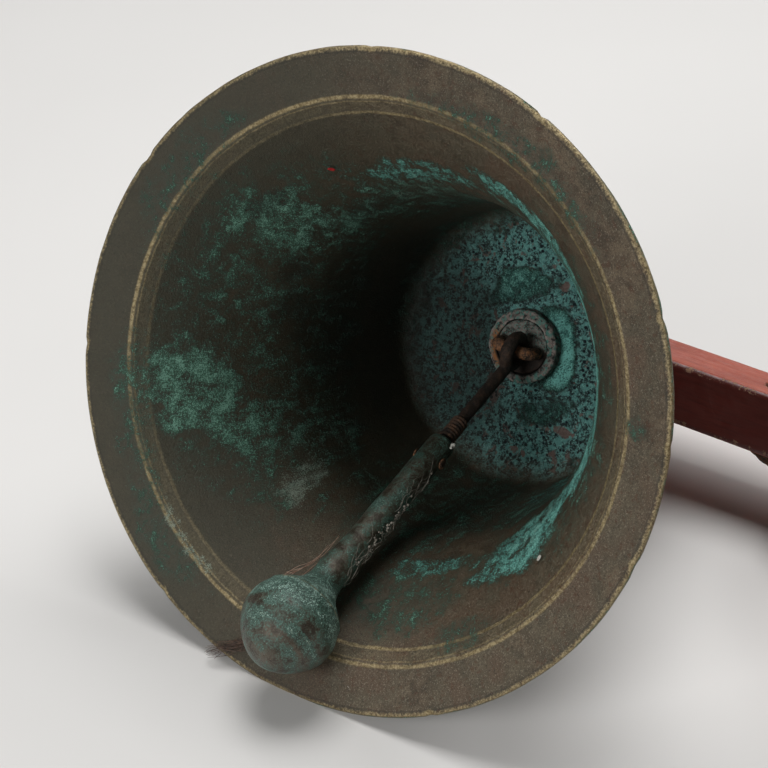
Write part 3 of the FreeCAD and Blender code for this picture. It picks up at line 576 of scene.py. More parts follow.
def black_iron():
    """Forge-black strap iron, rust along its edges, faint hammer marks."""
    p = Paint("black_iron")
    grain = p.noise(0.8, 4, 0.65)
    patch = p.noise(14, 4, 0.6)
    dents = p.cells(13, "SMOOTH_F1")
    color = p.mix(p.step(patch, 0.35, 0.68), (0.014, 0.013, 0.012), (0.038, 0.034, 0.031))
    rust = p.add(p.times(p.mask("edge"), 0.42), p.times(patch, 0.6))
    rust = p.step(p.add(rust, p.times(p.add(grain, -0.5), 1.2)), 0.50, 0.74)
    color = p.mix(rust, color, p.mix(grain, (0.09, 0.035, 0.018), (0.26, 0.115, 0.05)))
    roughness = p.blend(rust, p.step(grain, 0.3, 0.7, 0.42, 0.60), 0.88)
    metallic = p.blend(rust, 0.65, 0.05)
    normal = p.bump(dents, 0.5)
    normal = p.bump(p.add(grain, p.times(rust, 0.8)), 0.25, normal)
    return p.finish(color, roughness, metallic, normal)


def red_paint(name, along):
    """Old red oil paint on planed timber: faint grain, painted shade on the face that looks down, small
    chips to bare wood at the edges.
    """
    p = Paint(name)
    squeeze = tuple(0.06 if axis == along else 1.0 for axis in "xyz")
    grain_place = p.stretched(squeeze)
    grain = p.noise(1.4, 5, 0.6, place=grain_place)
    bands = p.noise(9, 3, 0.5, place=grain_place, warp=0.4)
    patch = p.noise(24, 4, 0.6)
    mottle = p.noise(5, 4, 0.6)
    speck = p.noise(1.5, 3, 0.7)
    red = p.mix(p.step(patch, 0.3, 0.7), (0.285, 0.046, 0.025), (0.400, 0.082, 0.046))
    red = p.mix(p.times(p.step(grain, 0.52, 0.36), 0.38), red, (0.12, 0.020, 0.013))
    red = p.mix(p.times(p.step(bands, 0.48, 0.72), 0.25), red, (0.44, 0.125, 0.078))
    red = p.mix(p.times(p.step(mottle, 0.50, 0.66), 0.22), red, (0.50, 0.21, 0.14))
    red = p.mix(p.times(p.step(speck, 0.62, 0.70), 0.5), red, (0.47, 0.25, 0.17))
    edge = p.add(p.times(p.mask("edge"), 0.20), p.add(p.times(speck, 0.45), p.times(mottle, 0.52)))
    chip = p.step(edge, 0.715, 0.745)
    # painted shade on the face that looks down, where that mask says
    down_face_shade = p.step(p.add(p.mask("down_face_shade"), p.times(p.add(mottle, -0.5), 0.5)), 0.25, 0.85)
    red = p.mix(p.times(down_face_shade, 0.92), red, p.mix(grain, (0.030, 0.002, 0.001), (0.090, 0.006, 0.003)))
    wood = p.mix(grain, (0.13, 0.060, 0.032), (0.36, 0.20, 0.12))
    color = p.mix(chip, red, wood)
    roughness = p.blend(chip, p.step(mottle, 0.35, 0.65, 0.42, 0.56), 0.8)
    height = p.add(p.times(grain, 0.5), p.times(bands, 0.4))
    height = p.add(height, p.add(p.times(chip, -1.0), p.times(speck, 0.25)))
    return p.finish(color, roughness, 0.0, p.bump(height, 0.26), Coat_Weight=0.15, Coat_Roughness=0.45)


def bare_oak():
    """Oiled oak end grain: rings and open pores."""
    p = Paint("bare_oak")
    rings = p.node("ShaderNodeTexWave", wave_type="RINGS")
    p.feed(rings.inputs["Vector"], p.stretched((1.0, 0.12, 1.0)))
    rings.inputs["Scale"].default_value = 260
    rings.inputs["Distortion"].default_value = 5
    rings.inputs["Detail"].default_value = 3
    grain = p.noise(0.8, 4, 0.65)
    patch = p.noise(12, 3, 0.6)
    color = p.mix(rings.outputs["Fac"], (0.12, 0.066, 0.033), (0.30, 0.185, 0.10))
    color = p.mix(p.times(p.step(grain, 0.46, 0.36), 0.8), color, (0.035, 0.02, 0.012))
    color = p.mix(p.times(p.step(patch, 0.45, 0.7), 0.5), color, (0.13, 0.10, 0.08))
    height = p.add(p.times(rings.outputs["Fac"], 0.4), grain)
    return p.finish(color, p.step(grain, 0.3, 0.7, 0.72, 0.5), 0.0, p.bump(height, 0.35))


def leather():
    """Dark compressed leather with creases and a dry grain."""
    p = Paint("leather_pad")
    pores = p.cells(1.4)
    creases = p.noise(6, 5, 0.7, warp=0.8)
    color = p.mix(p.step(creases, 0.38, 0.64), (0.035, 0.020, 0.013), (0.115, 0.070, 0.044))
    color = p.mix(p.times(p.mask("edge"), p.step(creases, 0.45, 0.6)), color, (0.24, 0.16, 0.105))
    height = p.add(pores, p.times(creases, 1.5))
    return p.finish(color, p.step(creases, 0.3, 0.7, 0.78, 0.55), 0.0, p.bump(height, 0.4))


def uneven(name, dark, light, roughness=0.7, size=2.5):
    """Hair, thread, dust or a paint flake: small, and a little uneven in colour and sheen."""
    p = Paint(name)
    run = p.noise(size, 3, 0.6)
    shine = p.step(run, 0.3, 0.7, roughness, roughness * 0.8)
    return p.finish(p.mix(p.step(run, 0.35, 0.65), dark, light), shine, 0.0, p.bump(run, 0.08))


BRONZE = bell_bronze()
CLAPPER_BRONZE = clapper_bronze()
RUST = rusty_iron("rusty_iron")
DARK_RUST = rusty_iron("dark_rusty_iron", orange=0.25)
BLACK_RUST = rusty_iron("black_rusty_iron", orange=0.08, shade=0.35)
HUB_CRUST = crown_crust()
FORGED = black_iron()
RED_ALONG_Y = red_paint("red_paint_arm", "y")
RED_ALONG_Z = red_paint("red_paint_board", "z")
OAK = bare_oak()
LEATHER = leather()

# ---------------------------------------------------------------- the bell casting

PROFILE_STEP = 1.9 * MM
BELL_SPOKES = 300
CRUST_START, CRUST_FULL = 214.0, 240.0


def half_section(node):
    """A turned node's outline on one side of its axis: rows of (radius, height above the mouth).

    They are in order, starting at the rim and going up the inside.
    """
    mesh = bmesh.new()
    mesh.from_mesh(NODES[node].data)
    bmesh.ops.remove_doubles(mesh, verts=mesh.verts, dist=1e-6)
    everything = mesh.verts[:] + mesh.edges[:] + mesh.faces[:]
    cut = bmesh.ops.bisect_plane(mesh, geom=everything, plane_co=MOUTH, plane_no=(0, 1, 0))["geom_cut"]
    beside = {}
    for item in cut:
        if isinstance(item, bmesh.types.BMEdge) and all(v.co.x > MOUTH.x for v in item.verts):
            first, second = item.verts
            beside.setdefault(first, []).append(second)
            beside.setdefault(second, []).append(first)
    start = min(beside, key=lambda v: (round(v.co.z, 4), v.co.x))
    order = [start, min(beside[start], key=lambda v: v.co.x)]
    while len(order) < len(beside):
        ahead = [v for v in beside[order[-1]] if v is not order[-2]]
        if not ahead or ahead[0] is start:
            break
        order.append(ahead[0])
    rows = np.array([(v.co.x - MOUTH.x, v.co.z - MOUTH.z) for v in order])
    mesh.free()
    return rows


def even_steps(rows, step):
    """A closed outline with points one step apart and its corners eased, and the distances along it."""
    closed = np.vstack((rows, rows[:1]))
    along = np.concatenate(([0], np.cumsum(np.hypot(*np.diff(closed, axis=0).T))))
    count = int(along[-1] / step)
    places = np.linspace(0, along[-1], count, endpoint=False)
    made = np.stack([np.interp(places, along, closed[:, k]) for k in range(2)], axis=1)
    for _ in range(2):
        made = 0.25 * np.roll(made, 1, axis=0) + 0.5 * made + 0.25 * np.roll(made, -1, axis=0)
    made[:, 0] *= rows[:, 0].max() / made[:, 0].max()
    return made, places


# Stains on the inside: (bearing in degrees, distance from the rim in mm, half width in degrees,
# half length in mm, lean in degrees per 100 mm, strength)
GREEN_STAINS = [
    (-60, 82, 12, 42, 0, 0.58),
    (-50, 114, 11, 22, 0, 0.50),
    (-112, 60, 13, 36, -12, 0.60),
    (-125, 88, 12, 28, 0, 0.54),
    (-137, 126, 14, 40, 0, 0.40),
    (-90, 106, 7, 14, 0, 0.44),
    (-100, 160, 7, 22, 0, 0.40),
    (-90, 105, 75, 80, 0, 0.34),
    (178, 160, 34, 80, 0, 0.36),
    (70, 105, 75, 70, 0, 0.34),
    (-112, 24, 18, 16, 0, 0.36),
    (-140, 18, 22, 12, 0, 0.26),
    (-60, 20, 20, 14, 0, 0.26),
    (78, 18, 5, 9, 0, 0.42),
    (20, 22, 30, 12, 0, 0.28),
    (165, 66, 20, 26, 0, 0.32),
    (142, 38, 9, 12, 0, 0.30),
    (-10, 175, 14, 60, 0, 0.48),
    (138, 175, 16, 56, 0, 0.48),
    (-25, 130, 30, 60, 0, 0.42),
    (50, 225, 90, 30, 0, 0.46),
    (-60, 225, 60, 26, 0, 0.36),
]
BRIGHT_STAINS = [
    (122, 88, 18, 33, -22, 0.62),
    (136, 74, 10, 15, 0, 0.50),
    (84, 86, 64, 15, 0, 0.70),
    (28, 70, 26, 13, 30, 0.58),
    (-10, 84, 24, 14, 0, 0.50),
    (160, 92, 16, 14, 0, 0.46),
    (-12, 200, 9, 34, 0, 0.50),
    (142, 196, 9, 34, 0, 0.46),
    (78, 277, 74, 9, 0, 1.0),
    (-30, 262, 40, 5, 0, 0.62),
    (-28, 264, 44, 9, 0, 0.66),
    (150, 262, 30, 9, 0, 0.52),
]
CHALK_STAINS = [
    (-146, 102, 8, 26, 0, 0.62),
    (-20, 125, 22, 50, 0, 0.42),
    (-145, 27, 16, 3.5, 0, 0.6),
    (120, 92, 12, 26, -22, 0.42),
    (-135, 120, 10, 40, 0, 0.36),
]
# Dark stains: the two broad ones on the left of the crown and the deep wall are painted shadow, the small
# ones are soot spots.
SOOT_AND_SHADOW_STAINS = [
    (-112, 252, 74, 46, 0, 0.98),
    (-95, 195, 58, 62, 0, 0.80),
    (-88, 122, 8, 20, 0, 0.52),
    (-74, 106, 6, 12, 0, 0.45),
    (-98, 134, 7, 16, 0, 0.45),
    (-56, 66, 4, 9, 0, 0.50),
    (-40, 120, 10, 16, 0, 0.30),
    (178, 118, 18, 22, 0, 0.34),
]
# Chips in the rim: (bearing in degrees, strength)
CHIPS = [
    (-63, 1.0),
    (22, 1.2),
    (60, 1.0),
    (101, 0.7),
    (-12, 0.7),
    (-101, 0.8),
    (150, 0.7),
    (-150, 0.6),
    (80, 0.6),
]


def stain(bearing, along, place, stains):
    """The strength of a list of soft-edged, ragged stains at each point."""
    ragged_bearing = bearing + 5.0 * noise(place, 16 * MM, 11, 3)
    ragged_along = along + 8.0 * noise(place, 16 * MM, 23, 3)
    total = np.zeros(len(place))
    for centre, middle, wide, long, lean, strength in stains:
        off = ragged_along - middle
        turn = ragged_bearing - centre - lean * off / 100
        turn = (turn + 180) % 360 - 180
        total = np.maximum(total, strength * ease(1.25, 0.55, np.hypot(turn / wide, off / long)))
    return total


def bell_casting():
    rows, along = even_steps(half_section("bell"), PROFILE_STEP)
    spread = np.roll(rows, -1, axis=0) - np.roll(rows, 1, axis=0)
    outward = np.stack((-spread[:, 1], spread[:, 0]), axis=1)
    outward /= np.linalg.norm(outward, axis=1)[:, None]
    inside_end = int(np.argmin(rows[: len(rows) * 3 // 5, 0] + (rows[: len(rows) * 3 // 5, 1] < 0.1)))
    inner = np.arange(len(rows)) <= inside_end
    angles = np.arange(BELL_SPOKES) * 2 * math.pi / BELL_SPOKES
    radius, angle = np.repeat(rows[:, 0], BELL_SPOKES), np.tile(angles, len(rows))
    height = np.repeat(rows[:, 1], BELL_SPOKES)
    points = np.stack((radius * np.cos(angle), radius * np.sin(angle), height), axis=1)
    normal_r, normal_z = np.repeat(outward[:, 0], BELL_SPOKES), np.repeat(outward[:, 1], BELL_SPOKES)
    normals = np.stack((normal_r * np.cos(angle), normal_r * np.sin(angle), normal_z), axis=1)
    along_mm = np.repeat(along, BELL_SPOKES) / MM
    bearing = np.degrees((angle + math.pi) % (2 * math.pi) - math.pi)
    is_inner = np.repeat(inner, BELL_SPOKES).astype(float)
    from_rim = np.where(is_inner > 0, along_mm, 400.0)

    crust = is_inner * ease(CRUST_START, CRUST_FULL, along_mm + 5 * noise(points, 14 * MM, 3, 2))
    free = 0.35 + 0.65 * ease(40, 90, along_mm)
    move = free * (0.34 * noise(points, 36 * MM, 1, 2) + 0.12 * noise(points, 8 * MM, 2, 2))
    move += crust * (0.75 * noise(points, 7 * MM, 4, 3) + 0.35 * noise(points, 3 * MM, 5, 2))
    pits = ease(0.52, 0.8, noise(points, 5 * MM, 6, 2))
    move -= 0.45 * pits * (0.4 + crust)
    edge = ease(RIM_RADIUS - 5 * MM, RIM_RADIUS - 1 * MM, radius) * (height < 0.02)
    chipped = np.zeros(len(points))
    for centre, size in CHIPS:
        off = np.abs((bearing - centre + 180) % 360 - 180) * math.radians(1) * RIM_RADIUS / MM
        chipped = np.maximum(chipped, size * ease(3.2, 0.8, off + 1.5 * noise(points, 2 * MM, 8)))
    move -= 0.8 * edge * chipped

    faces = []
    spokes, rings = BELL_SPOKES, len(rows)
    for ring in range(rings):
        first, after = ring * spokes, (ring + 1) % rings * spokes
        for spoke in range(spokes):
            beyond = (spoke + 1) % spokes
            faces.append((first + spoke, after + spoke, after + beyond, first + beyond))
    mesh = bpy.data.meshes.new("bell_casting")
    mesh.from_pydata((points + normals * move[:, None] * MM + np.array(MOUTH)).tolist(), [], faces)
    mesh.update()
    mesh.shade_smooth()

    worn_edge = edge * (0.58 + 0.5 * ease(0.2, 0.6, chipped))
    outside = 1 - is_inner
    outer_beads = outside * ease(0.15, 0.6, noise(points, 30 * MM, 12, 2)) * 0.35
    add_mask(mesh, "inside", is_inner)
    add_mask(mesh, "brass", worn_edge + outer_beads)
    side_of_line = np.abs((bearing - 80 + 180) % 360 - 180)
    add_mask(mesh, "inner_line", 0.25 + 0.6 * ease(112, 88, side_of_line))
    green = stain(bearing, from_rim, points, GREEN_STAINS) * is_inner
    bright = stain(bearing, from_rim, points, BRIGHT_STAINS) * is_inner
    runs = np.stack((points[:, 0], points[:, 1], points[:, 2] * 0.22), axis=1)
    rain = outside * (0.30 + 0.42 * noise(runs, 15 * MM, 14, 3))
    add_mask(mesh, "verdigris", np.maximum(green, rain) * (1 - 0.7 * crust))
    add_mask(mesh, "bright", bright)
    add_mask(mesh, "chalk", stain(bearing, from_rim, points, CHALK_STAINS) * is_inner)
    # soot spots, and painted shadow on the left of the crown and the deep wall
    add_mask(mesh, "soot_and_shadow", stain(bearing, from_rim, points, SOOT_AND_SHADOW_STAINS) * is_inner)
    add_mask(mesh, "crust", crust)
    # painted shade: darker on the left half of the inside, most of all near the rim
    side_of_left = np.abs((bearing + 95 + 180) % 360 - 180)
    near_rim = 0.5 + 0.5 * ease(90, 45, along_mm)
    add_mask(mesh, "left_lip_shade", is_inner * (0.08 + 0.84 * ease(118, 40, side_of_left) * near_rim))
    return finish_piece(link("bell_casting", mesh), FIXED, "bell_bronze", BRONZE, "bell")


bell_casting()

# ---------------------------------------------------------------- the clapper

bob_mesh_points = points_of(NODES["clapper_bob"].data)
far = np.linalg.norm((bob_mesh_points - np.array(PIVOT))[:, [0, 2]], axis=1)
tip = bob_mesh_points[np.argmax(far)]
CLAPPER_DOWN = Vector((tip[0] - PIVOT.x, 0, tip[2] - PIVOT.z)).normalized()
bob_low, bob_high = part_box("clapper_bob")
BALL = Vector((bob_low.x + BALL_RADIUS, (bob_low.y + bob_high.y) / 2, bob_low.z + BALL_RADIUS))
BALL_DROP = (BALL - PIVOT).dot(CLAPPER_DOWN)


def bob_wear(mesh):
    """Dark teal above the belt, coppery wear below it, dust on the side away from the floor."""
    points = points_of(mesh)
    down = (points - np.array(PIVOT)) @ np.array(CLAPPER_DOWN) - BALL_DROP
    side = points - np.array(BALL)
    on_ball = ease(-34, -22, down / MM)
    ridge = ease(2.2, 0.6, np.abs(down / MM + 12 + 0.8 * noise(points, 9 * MM, 31, 2)))
    below = ease(-2, 7, down / MM + 3.5 * noise(points, 12 * MM, 36, 2))
    rings = noise(np.stack((down * 1.0, side[:, 1] * 0.18, side[:, 0] * 0.18), axis=1), 2.6 * MM, 37, 3)
    teal = on_ball * (0.68 - 0.28 * below + 0.36 * rings * below)
    teal += (1 - on_ball) * (0.42 + 0.26 * noise(points, 12 * MM, 35, 2))
    add_mask(mesh, "verdigris", teal)
    add_mask(mesh, "brass", np.maximum(ridge * 0.52, below * (0.14 + 0.36 * rings)))
    lee = normals_of(mesh) @ np.array(CAMERA_RIGHT * 0.8 - UP * 0.3)
    clumps = ease(-0.25, 0.5, noise(points, 22 * MM, 39, 2))
    dusty = (1 - on_ball) * ease(0.25, 0.85, lee) * clumps * ease(-40, -60, down / MM)
    add_mask(mesh, "dust", 0.58 * dusty + 0.22 * (1 - on_ball))


def crown_hollow(points):
    """Painted shadow lies in the half of the recess where the clapper rests."""
    return ease(4.5, -1.5, (points[:, 0] - MOUTH.x) / MM + 2.5 * noise(points, 5 * MM, 44, 2))


def collar_shadow_and_crust(mesh):
    """Painted shadow on one half of the collar and the loop's root, the hub's crust on the other half."""
    points = points_of(mesh)
    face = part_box("crown_hub")[0].z
    deep = ease(face - 5 * MM, face, points[:, 2])
    hollow = crown_hollow(points)
    add_mask(mesh, "soot_and_shadow", deep * hollow * 0.94)
    add_mask(mesh, "crust", deep * (1 - hollow))


def hub_wear(mesh):
    """Painted shadow in the recess and fresh rust at its left edge."""
    points = points_of(mesh)
    off = points - np.array(MOUTH)
    across = np.hypot(off[:, 0], off[:, 1]) / MM
    in_recess = ease(17.2, 15.8, across + 0.8 * noise(points, 3 * MM, 43))
    add_mask(mesh, "soot_and_shadow", crown_hollow(points) * in_recess)
    bearing = np.degrees(np.arctan2(off[:, 1], off[:, 0]))
    turn = np.abs((bearing + 115 + 180) % 360 - 180)
    add_mask(mesh, "rust", ease(60, 30, turn) * ease(20, 17, across))


BOB_LUMPS = [(13, 0.30), (4, 0.16), (1.8, 0.08)]
ROD_LUMPS = [(7, 0.60), (2.6, 0.34)]

CLAPPER = "clapper_bronze"
weathered("clapper_bob", "clapper_casting", 0.62, BOB_LUMPS, CLAPPER, CLAPPER_BRONZE, paint=bob_wear)
weathered("clapper_rod", "clapper_rod_rusted", 0.55, ROD_LUMPS, "rusty_iron", BLACK_RUST)
weathered("clapper_rivet", "clapper_rivet_worn", 0.35, [(3, 0.15)], "rusty_iron", RUST)
weathered("rod_lashing", "rod_lashing_wire", 0.35, [(3, 0.18)], "rusty_iron", DARK_RUST)

# ---------------------------------------------------------------- ironwork of the crown and the arm

THREAD_PITCH = 1.75 * MM
THREAD_DEPTH = 0.32 * MM


def bolt_thread(points, normals):
    """Thread turns on the shank that stands above the wooden arm."""
    above = ease(0.0, 1 * MM, points[:, 2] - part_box("top_plate")[1].z)
    turn = np.arctan2(points[:, 1] - MOUTH.y, points[:, 0] - MOUTH.x)
    sides = np.abs(normals[:, 2]) < 0.6
    return above * THREAD_DEPTH * np.sin(2 * math.pi * points[:, 2] / THREAD_PITCH + turn) * sides


HUB_LUMPS = [(6, 0.55), (2.4, 0.38)]
BOLT_LUMPS = [(5, 0.22), (2.2, 0.16)]
PLATE_LUMPS = [(6, 0.22), (2.4, 0.14)]
NUT_LUMPS = [(5, 0.20), (2.2, 0.12)]
STRAP_LUMPS = [(16, 0.28), (4, 0.10)]

weathered("crown_hub", "crown_hub_crusted", 0.55, HUB_LUMPS, "rusty_iron", HUB_CRUST, paint=hub_wear)
weathered("eye_bolt", "eye_bolt_rusted", 0.5, BOLT_LUMPS, "rusty_iron", RUST, bolt_thread, collar_shadow_and_crust)
weathered("top_plate", "top_plate_rusted", 0.5, PLATE_LUMPS, "rusty_iron", RUST)
weathered("top_nut", "top_nut_rusted", 0.45, NUT_LUMPS, "rusty_iron", RUST)
weathered("jam_nut", "jam_nut_rusted", 0.45, NUT_LUMPS, "rusty_iron", RUST)
weathered("brace", "brace_forged", 0.8, STRAP_LUMPS, "black_iron", FORGED)
weathered("brace_bolt", "brace_bolt_forged", 0.4, [(5, 0.15)], "black_iron", FORGED)
weathered("brace_washer", "brace_washer_rusted", 0.35, [(5, 0.10)], "rusty_iron", RUST)
weathered("brace_nut", "brace_nut_rusted", 0.4, [(4, 0.14)], "rusty_iron", RUST)
weathered("brace_screws", "brace_screws_forged", 0.4, [(4, 0.10)], "black_iron", FORGED)

# ---------------------------------------------------------------- timber and leather


def paint_underside_shade(mesh):
    """Painted shade on the face of the timber that looks down, the way the mouth does."""
    add_mask(mesh, "down_face_shade", ease(0.25, 0.85, -normals_of(mesh)[:, 2]))


def grain_swell(along):
    squeeze = np.array([0.08 if axis == along else 1.0 for axis in "xyz"])

    def shape(points, normals):
        return 0.16 * MM * noise(points * squeeze, 3 * MM, 41, 3)

    return shape


PAINTED = "red_paint_wood"
weathered("arm", "arm_painted", 1.1, [(40, 0.25)], PAINTED, RED_ALONG_Y, grain_swell("y"), paint_underside_shade)
weathered("wall_board", "wall_board_painted", 1.3, [(50, 0.30)], PAINTED, RED_ALONG_Z, grain_swell("z"))
weathered("tenon_wedges", "tenon_wedges_oak", 0.35, [(4, 0.10)], "bare_oak", OAK)
weathered("tenon_peg", "tenon_peg_oak", 0.45, [(4, 0.14)], "bare_oak", OAK)
weathered("crown_pad", "crown_pad_leather", 0.7, [(9, 0.28), (3, 0.12)], "leather_pad", LEATHER)

# ---------------------------------------------------------------- hairs, dust and flakes caught on the bell

random.seed(7)
HAIR = uneven("dark_hair", (0.035, 0.020, 0.013), (0.13, 0.075, 0.048), 0.5)
WEB = uneven("dusty_web", (0.13, 0.115, 0.09), (0.36, 0.33, 0.28), 0.9)
THREAD = uneven("reddish_thread", (0.28, 0.15, 0.10), (0.52, 0.36, 0.27), 0.8)
PALE = uneven("pale_crumb", (0.42, 0.41, 0.36), (0.66, 0.64, 0.58), 0.9, 0.8)
RED_CHIP = uneven("red_paint_chip", (0.30, 0.010, 0.012), (0.48, 0.022, 0.020), 0.5, 1.2)


def at_bell(x, y, z):
    """A point given in mm from the middle of the mouth."""
    return MOUTH + Vector((x, y, z)) * MM


def jitter(amount):
    return Vector([random.uniform(-amount, amount) for _ in range(3)]) * MM


def at_shank(height, turn, away):
    """A point beside the clapper: mm above the ball, degrees round from +Y, mm from the axis."""
    side = Vector((0, 1, 0))
    front = CLAPPER_DOWN.cross(side)
    angle = math.radians(turn)
    outwards = side * math.cos(angle) + front * math.sin(angle)
    return BALL - CLAPPER_DOWN * height * MM + outwards * away * MM


def hair_tuft():
    """Dark hair caught between the lip and the floor, beside the ball."""
    paths = []
    for _ in range(44):
        start = at_bell(-139, -17, 3.2) + jitter(2.6)
        middle = at_bell(-147, -29, 0.4) + jitter(3.2)
        end = at_bell(-154, -42, -2.4) + jitter(4.0)
        before = start.lerp(middle, 0.5) + jitter(1.6)
        after = middle.lerp(end, 0.55) + jitter(2.2)
        paths.append([start, before, middle, after, end])
    strands("hair_tuft", paths, 0.19 * MM, FIXED, HAIR)


def shank_web():
    """Cobweb, dust and a pale crumb on the side of the shank."""
    paths = []
    for _ in range(34):
        height = random.uniform(34, 112)
        turn = random.uniform(-35, 35)
        path = []
        for _ in range(5):
            path.append(at_shank(height, turn, random.uniform(8.2, 9.4 + 1.4 * (height < 80))))
            height += random.uniform(1.5, 5.0)
            turn += random.uniform(-22, 22)
        paths.append(path)
    strands("shank_web", paths, 0.14 * MM, MOVING, WEB)
    places = []
    for _ in range(40):
        height = random.choice((random.uniform(52, 92), random.uniform(36, 120)))
        spot = at_shank(height, random.uniform(-28, 24), random.uniform(7.9, 9.2))
        places.append((spot, random.uniform(0.25, 0.75) * MM))
    crumbs("shank_dust", places, MOVING, WEB)
    top = [(at_shank(139, 12, 9.0), 1.3 * MM), (at_shank(136.5, 16, 9.4), 0.8 * MM)]
    crumbs("shank_top_crumb", top, MOVING, PALE)


def neck_threads():
    """Reddish threads caught where the shank widens into the ball."""
    rows = ((20, 17.5), (25, 14.6), (31, 12.2), (38, 10.4), (47, 9.6), (58, 9.2))
    paths = []
    for _ in range(7):
        turn = random.uniform(150, 200)
        path = [at_shank(height, turn + random.uniform(-14, 14), away) for height, away in rows]
        paths.append([point + jitter(0.7) for point in path[: random.randint(4, 6)]])
    strands("neck_threads", paths, 0.16 * MM, MOVING, THREAD)


def lip_thread():
    """One curled thread on the lip."""
    curl = []
    for turn in range(7):
        right = -146.5 + 2.6 * math.cos(turn) * (1 - 0.04 * turn)
        curl.append(at_bell(right, 32.5 + 2.6 * math.sin(turn) + 0.5 * turn, 3.6 - 0.1 * turn))
    strands("lip_thread", [curl], 0.16 * MM, FIXED, WEB)


hair_tuft()
shank_web()
neck_threads()
lip_thread()

RED_OUTLINE = [(-1.9, -0.5), (-0.4, -1.2), (1.7, -0.8), (2.2, 0.4), (0.5, 1.1), (-1.2, 0.9)]
PALE_OUTLINE = [(-1.7, -0.4), (-0.2, -1.5), (1.3, -0.9), (1.6, 0.7), (0.2, 1.6), (-1.3, 1.0)]
FLAKE_THICKNESS = 0.5 * MM
spot, facing = at_bell(88.7, -60.7, 39.9), Vector((-0.71, 0.48, -0.51))
flake("paint_chip", spot, facing, RED_OUTLINE, FLAKE_THICKNESS, FIXED, RED_CHIP)
spot, facing = at_bell(-54.0, 102.0, 28.3), Vector((0.38, -0.71, -0.59))
flake("pale_flake", spot, facing, PALE_OUTLINE, FLAKE_THICKNESS, FIXED, PALE)

# ---------------------------------------------------------------- floor, light and camera

ACROSS = (CAMERA_RIGHT - UP * CAMERA_RIGHT.dot(UP)).normalized()
TOWARDS = (CAMERA_BACK - UP * CAMERA_BACK.dot(UP)).normalized()
FLOOR_DROP = 0.1466
FLOOR_REACH = 1.5
FLOOR_FADE = (0.85, 1.45)


def studio_floor():
    """A pale floor under the lying bell.

    It is one-sided and fades out, so that it stays out of the way of other views.
    """
    away = UP.cross(ACROSS)
    centre = MOUTH - UP * FLOOR_DROP
    rings, spokes = 12, 64
    mesh = bmesh.new()
    middle = mesh.verts.new(centre)
    circles = []
    for ring in range(1, rings + 1):
        size = FLOOR_REACH * (ring / rings) ** 1.5
        circle = []
        for spoke in range(spokes):
            turn = 2 * math.pi * spoke / spokes
            way = ACROSS * size * math.cos(turn) + away * size * math.sin(turn)
            circle.append(mesh.verts.new(centre + way))
        circles.append(circle)
    for spoke in range(spokes):
        beyond = (spoke + 1) % spokes
        mesh.faces.new((middle, circles[0][spoke], circles[0][beyond]))
        for inner, outer in zip(circles, circles[1:]):
            mesh.faces.new((inner[spoke], outer[spoke], outer[beyond], inner[beyond]))
    data = bpy.data.meshes.new("floor")
    mesh.to_mesh(data)
    mesh.free()
    floor = link("floor", data)
    if data.polygons[0].normal.dot(UP) < 0:
        data.flip_normals()
    p = Paint("floor_paper")
    shade = p.noise(180, 3, 0.5)
    diffuse = p.node("ShaderNodeBsdfDiffuse")
    p.feed(diffuse.inputs["Color"], p.mix(shade, (0.700, 0.688, 0.672), (0.730, 0.718, 0.702)))
    clear = p.node("ShaderNodeBsdfTransparent")
    measure = p.node("ShaderNodeVectorMath", operation="DISTANCE")
    p.feed(measure.inputs[0], p.place)
    measure.inputs[1].default_value = centre
    fade = p.step(measure.outputs["Value"], *FLOOR_FADE)
    share = p.math("MAXIMUM", fade, p.node("ShaderNodeNewGeometry").outputs["Backfacing"])
    blend = p.node("ShaderNodeMixShader")
    p.feed(blend.inputs[0], share)
    p.tree.links.new(diffuse.outputs[0], blend.inputs[1])
    p.tree.links.new(clear.outputs[0], blend.inputs[2])
    out = p.node("ShaderNodeOutputMaterial")
    p.tree.links.new(blend.outputs[0], out.inputs["Surface"])
    data.materials.append(p.material)


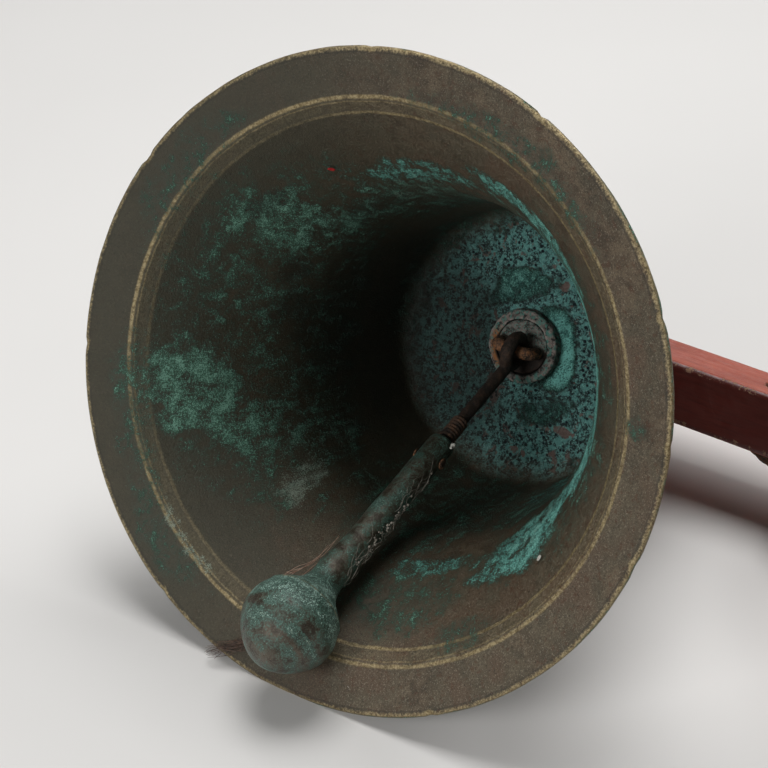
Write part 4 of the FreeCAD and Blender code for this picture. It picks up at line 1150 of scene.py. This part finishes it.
def softbox(name, right, up, towards, size, power):
    """A square lamp placed along the floor's own axes, facing the bell."""
    lamp = bpy.data.lights.new(name, "AREA")
    lamp.shape = "SQUARE"
    lamp.size = size
    lamp.energy = power
    holder = bpy.data.objects.new(name, lamp)
    bpy.context.scene.collection.objects.link(holder)
    spot = ACROSS * right + UP * up + TOWARDS * towards
    holder.location = MOUTH + spot
    holder.rotation_mode = "QUATERNION"
    holder.rotation_quaternion = (-spot).to_track_quat("-Z", "Y")


studio_floor()
softbox("key", 0.08, 1.90, -0.62, 1.2, 36)
softbox("second", 1.20, 1.20, -0.70, 0.9, 9)
softbox("front", -1.10, 0.80, 1.20, 0.7, 15)

SKY_COLOR = (0.80, 0.79, 0.775, 1)
SKY_LIGHT = 0.10  # what it gives the object
SKY_SEEN = 0.90  # what the camera sees

world = bpy.data.worlds.new("studio")
bpy.context.scene.world = world
world.use_nodes = True
studio = world.node_tree
dim = studio.nodes["Background"]
dim.inputs["Color"].default_value = SKY_COLOR
dim.inputs["Strength"].default_value = SKY_LIGHT
seen = studio.nodes.new("ShaderNodeBackground")
seen.inputs["Color"].default_value = SKY_COLOR
seen.inputs["Strength"].default_value = SKY_SEEN
choose = studio.nodes.new("ShaderNodeMixShader")
studio.links.new(studio.nodes.new("ShaderNodeLightPath").outputs["Is Camera Ray"], choose.inputs[0])
studio.links.new(dim.outputs[0], choose.inputs[1])
studio.links.new(seen.outputs[0], choose.inputs[2])
studio.links.new(choose.outputs[0], studio.nodes["World Output"].inputs["Surface"])

lens = bpy.data.cameras.new("camera")
lens.lens, lens.sensor_width = LENS_MM, SENSOR_MM
lens.clip_start, lens.clip_end = 0.05, 20
camera = bpy.data.objects.new("camera", lens)
bpy.context.scene.collection.objects.link(camera)
right_by, up_by, back_by = CAMERA_OFFSET
axes = Matrix((CAMERA_RIGHT, CAMERA_UP, CAMERA_BACK)).transposed()
place = MOUTH + CAMERA_RIGHT * right_by + CAMERA_UP * up_by + CAMERA_BACK * back_by
camera.matrix_world = Matrix.Translation(place) @ axes.to_4x4()
bpy.context.scene.camera = camera
bpy.context.scene.view_settings.view_transform = "Standard"
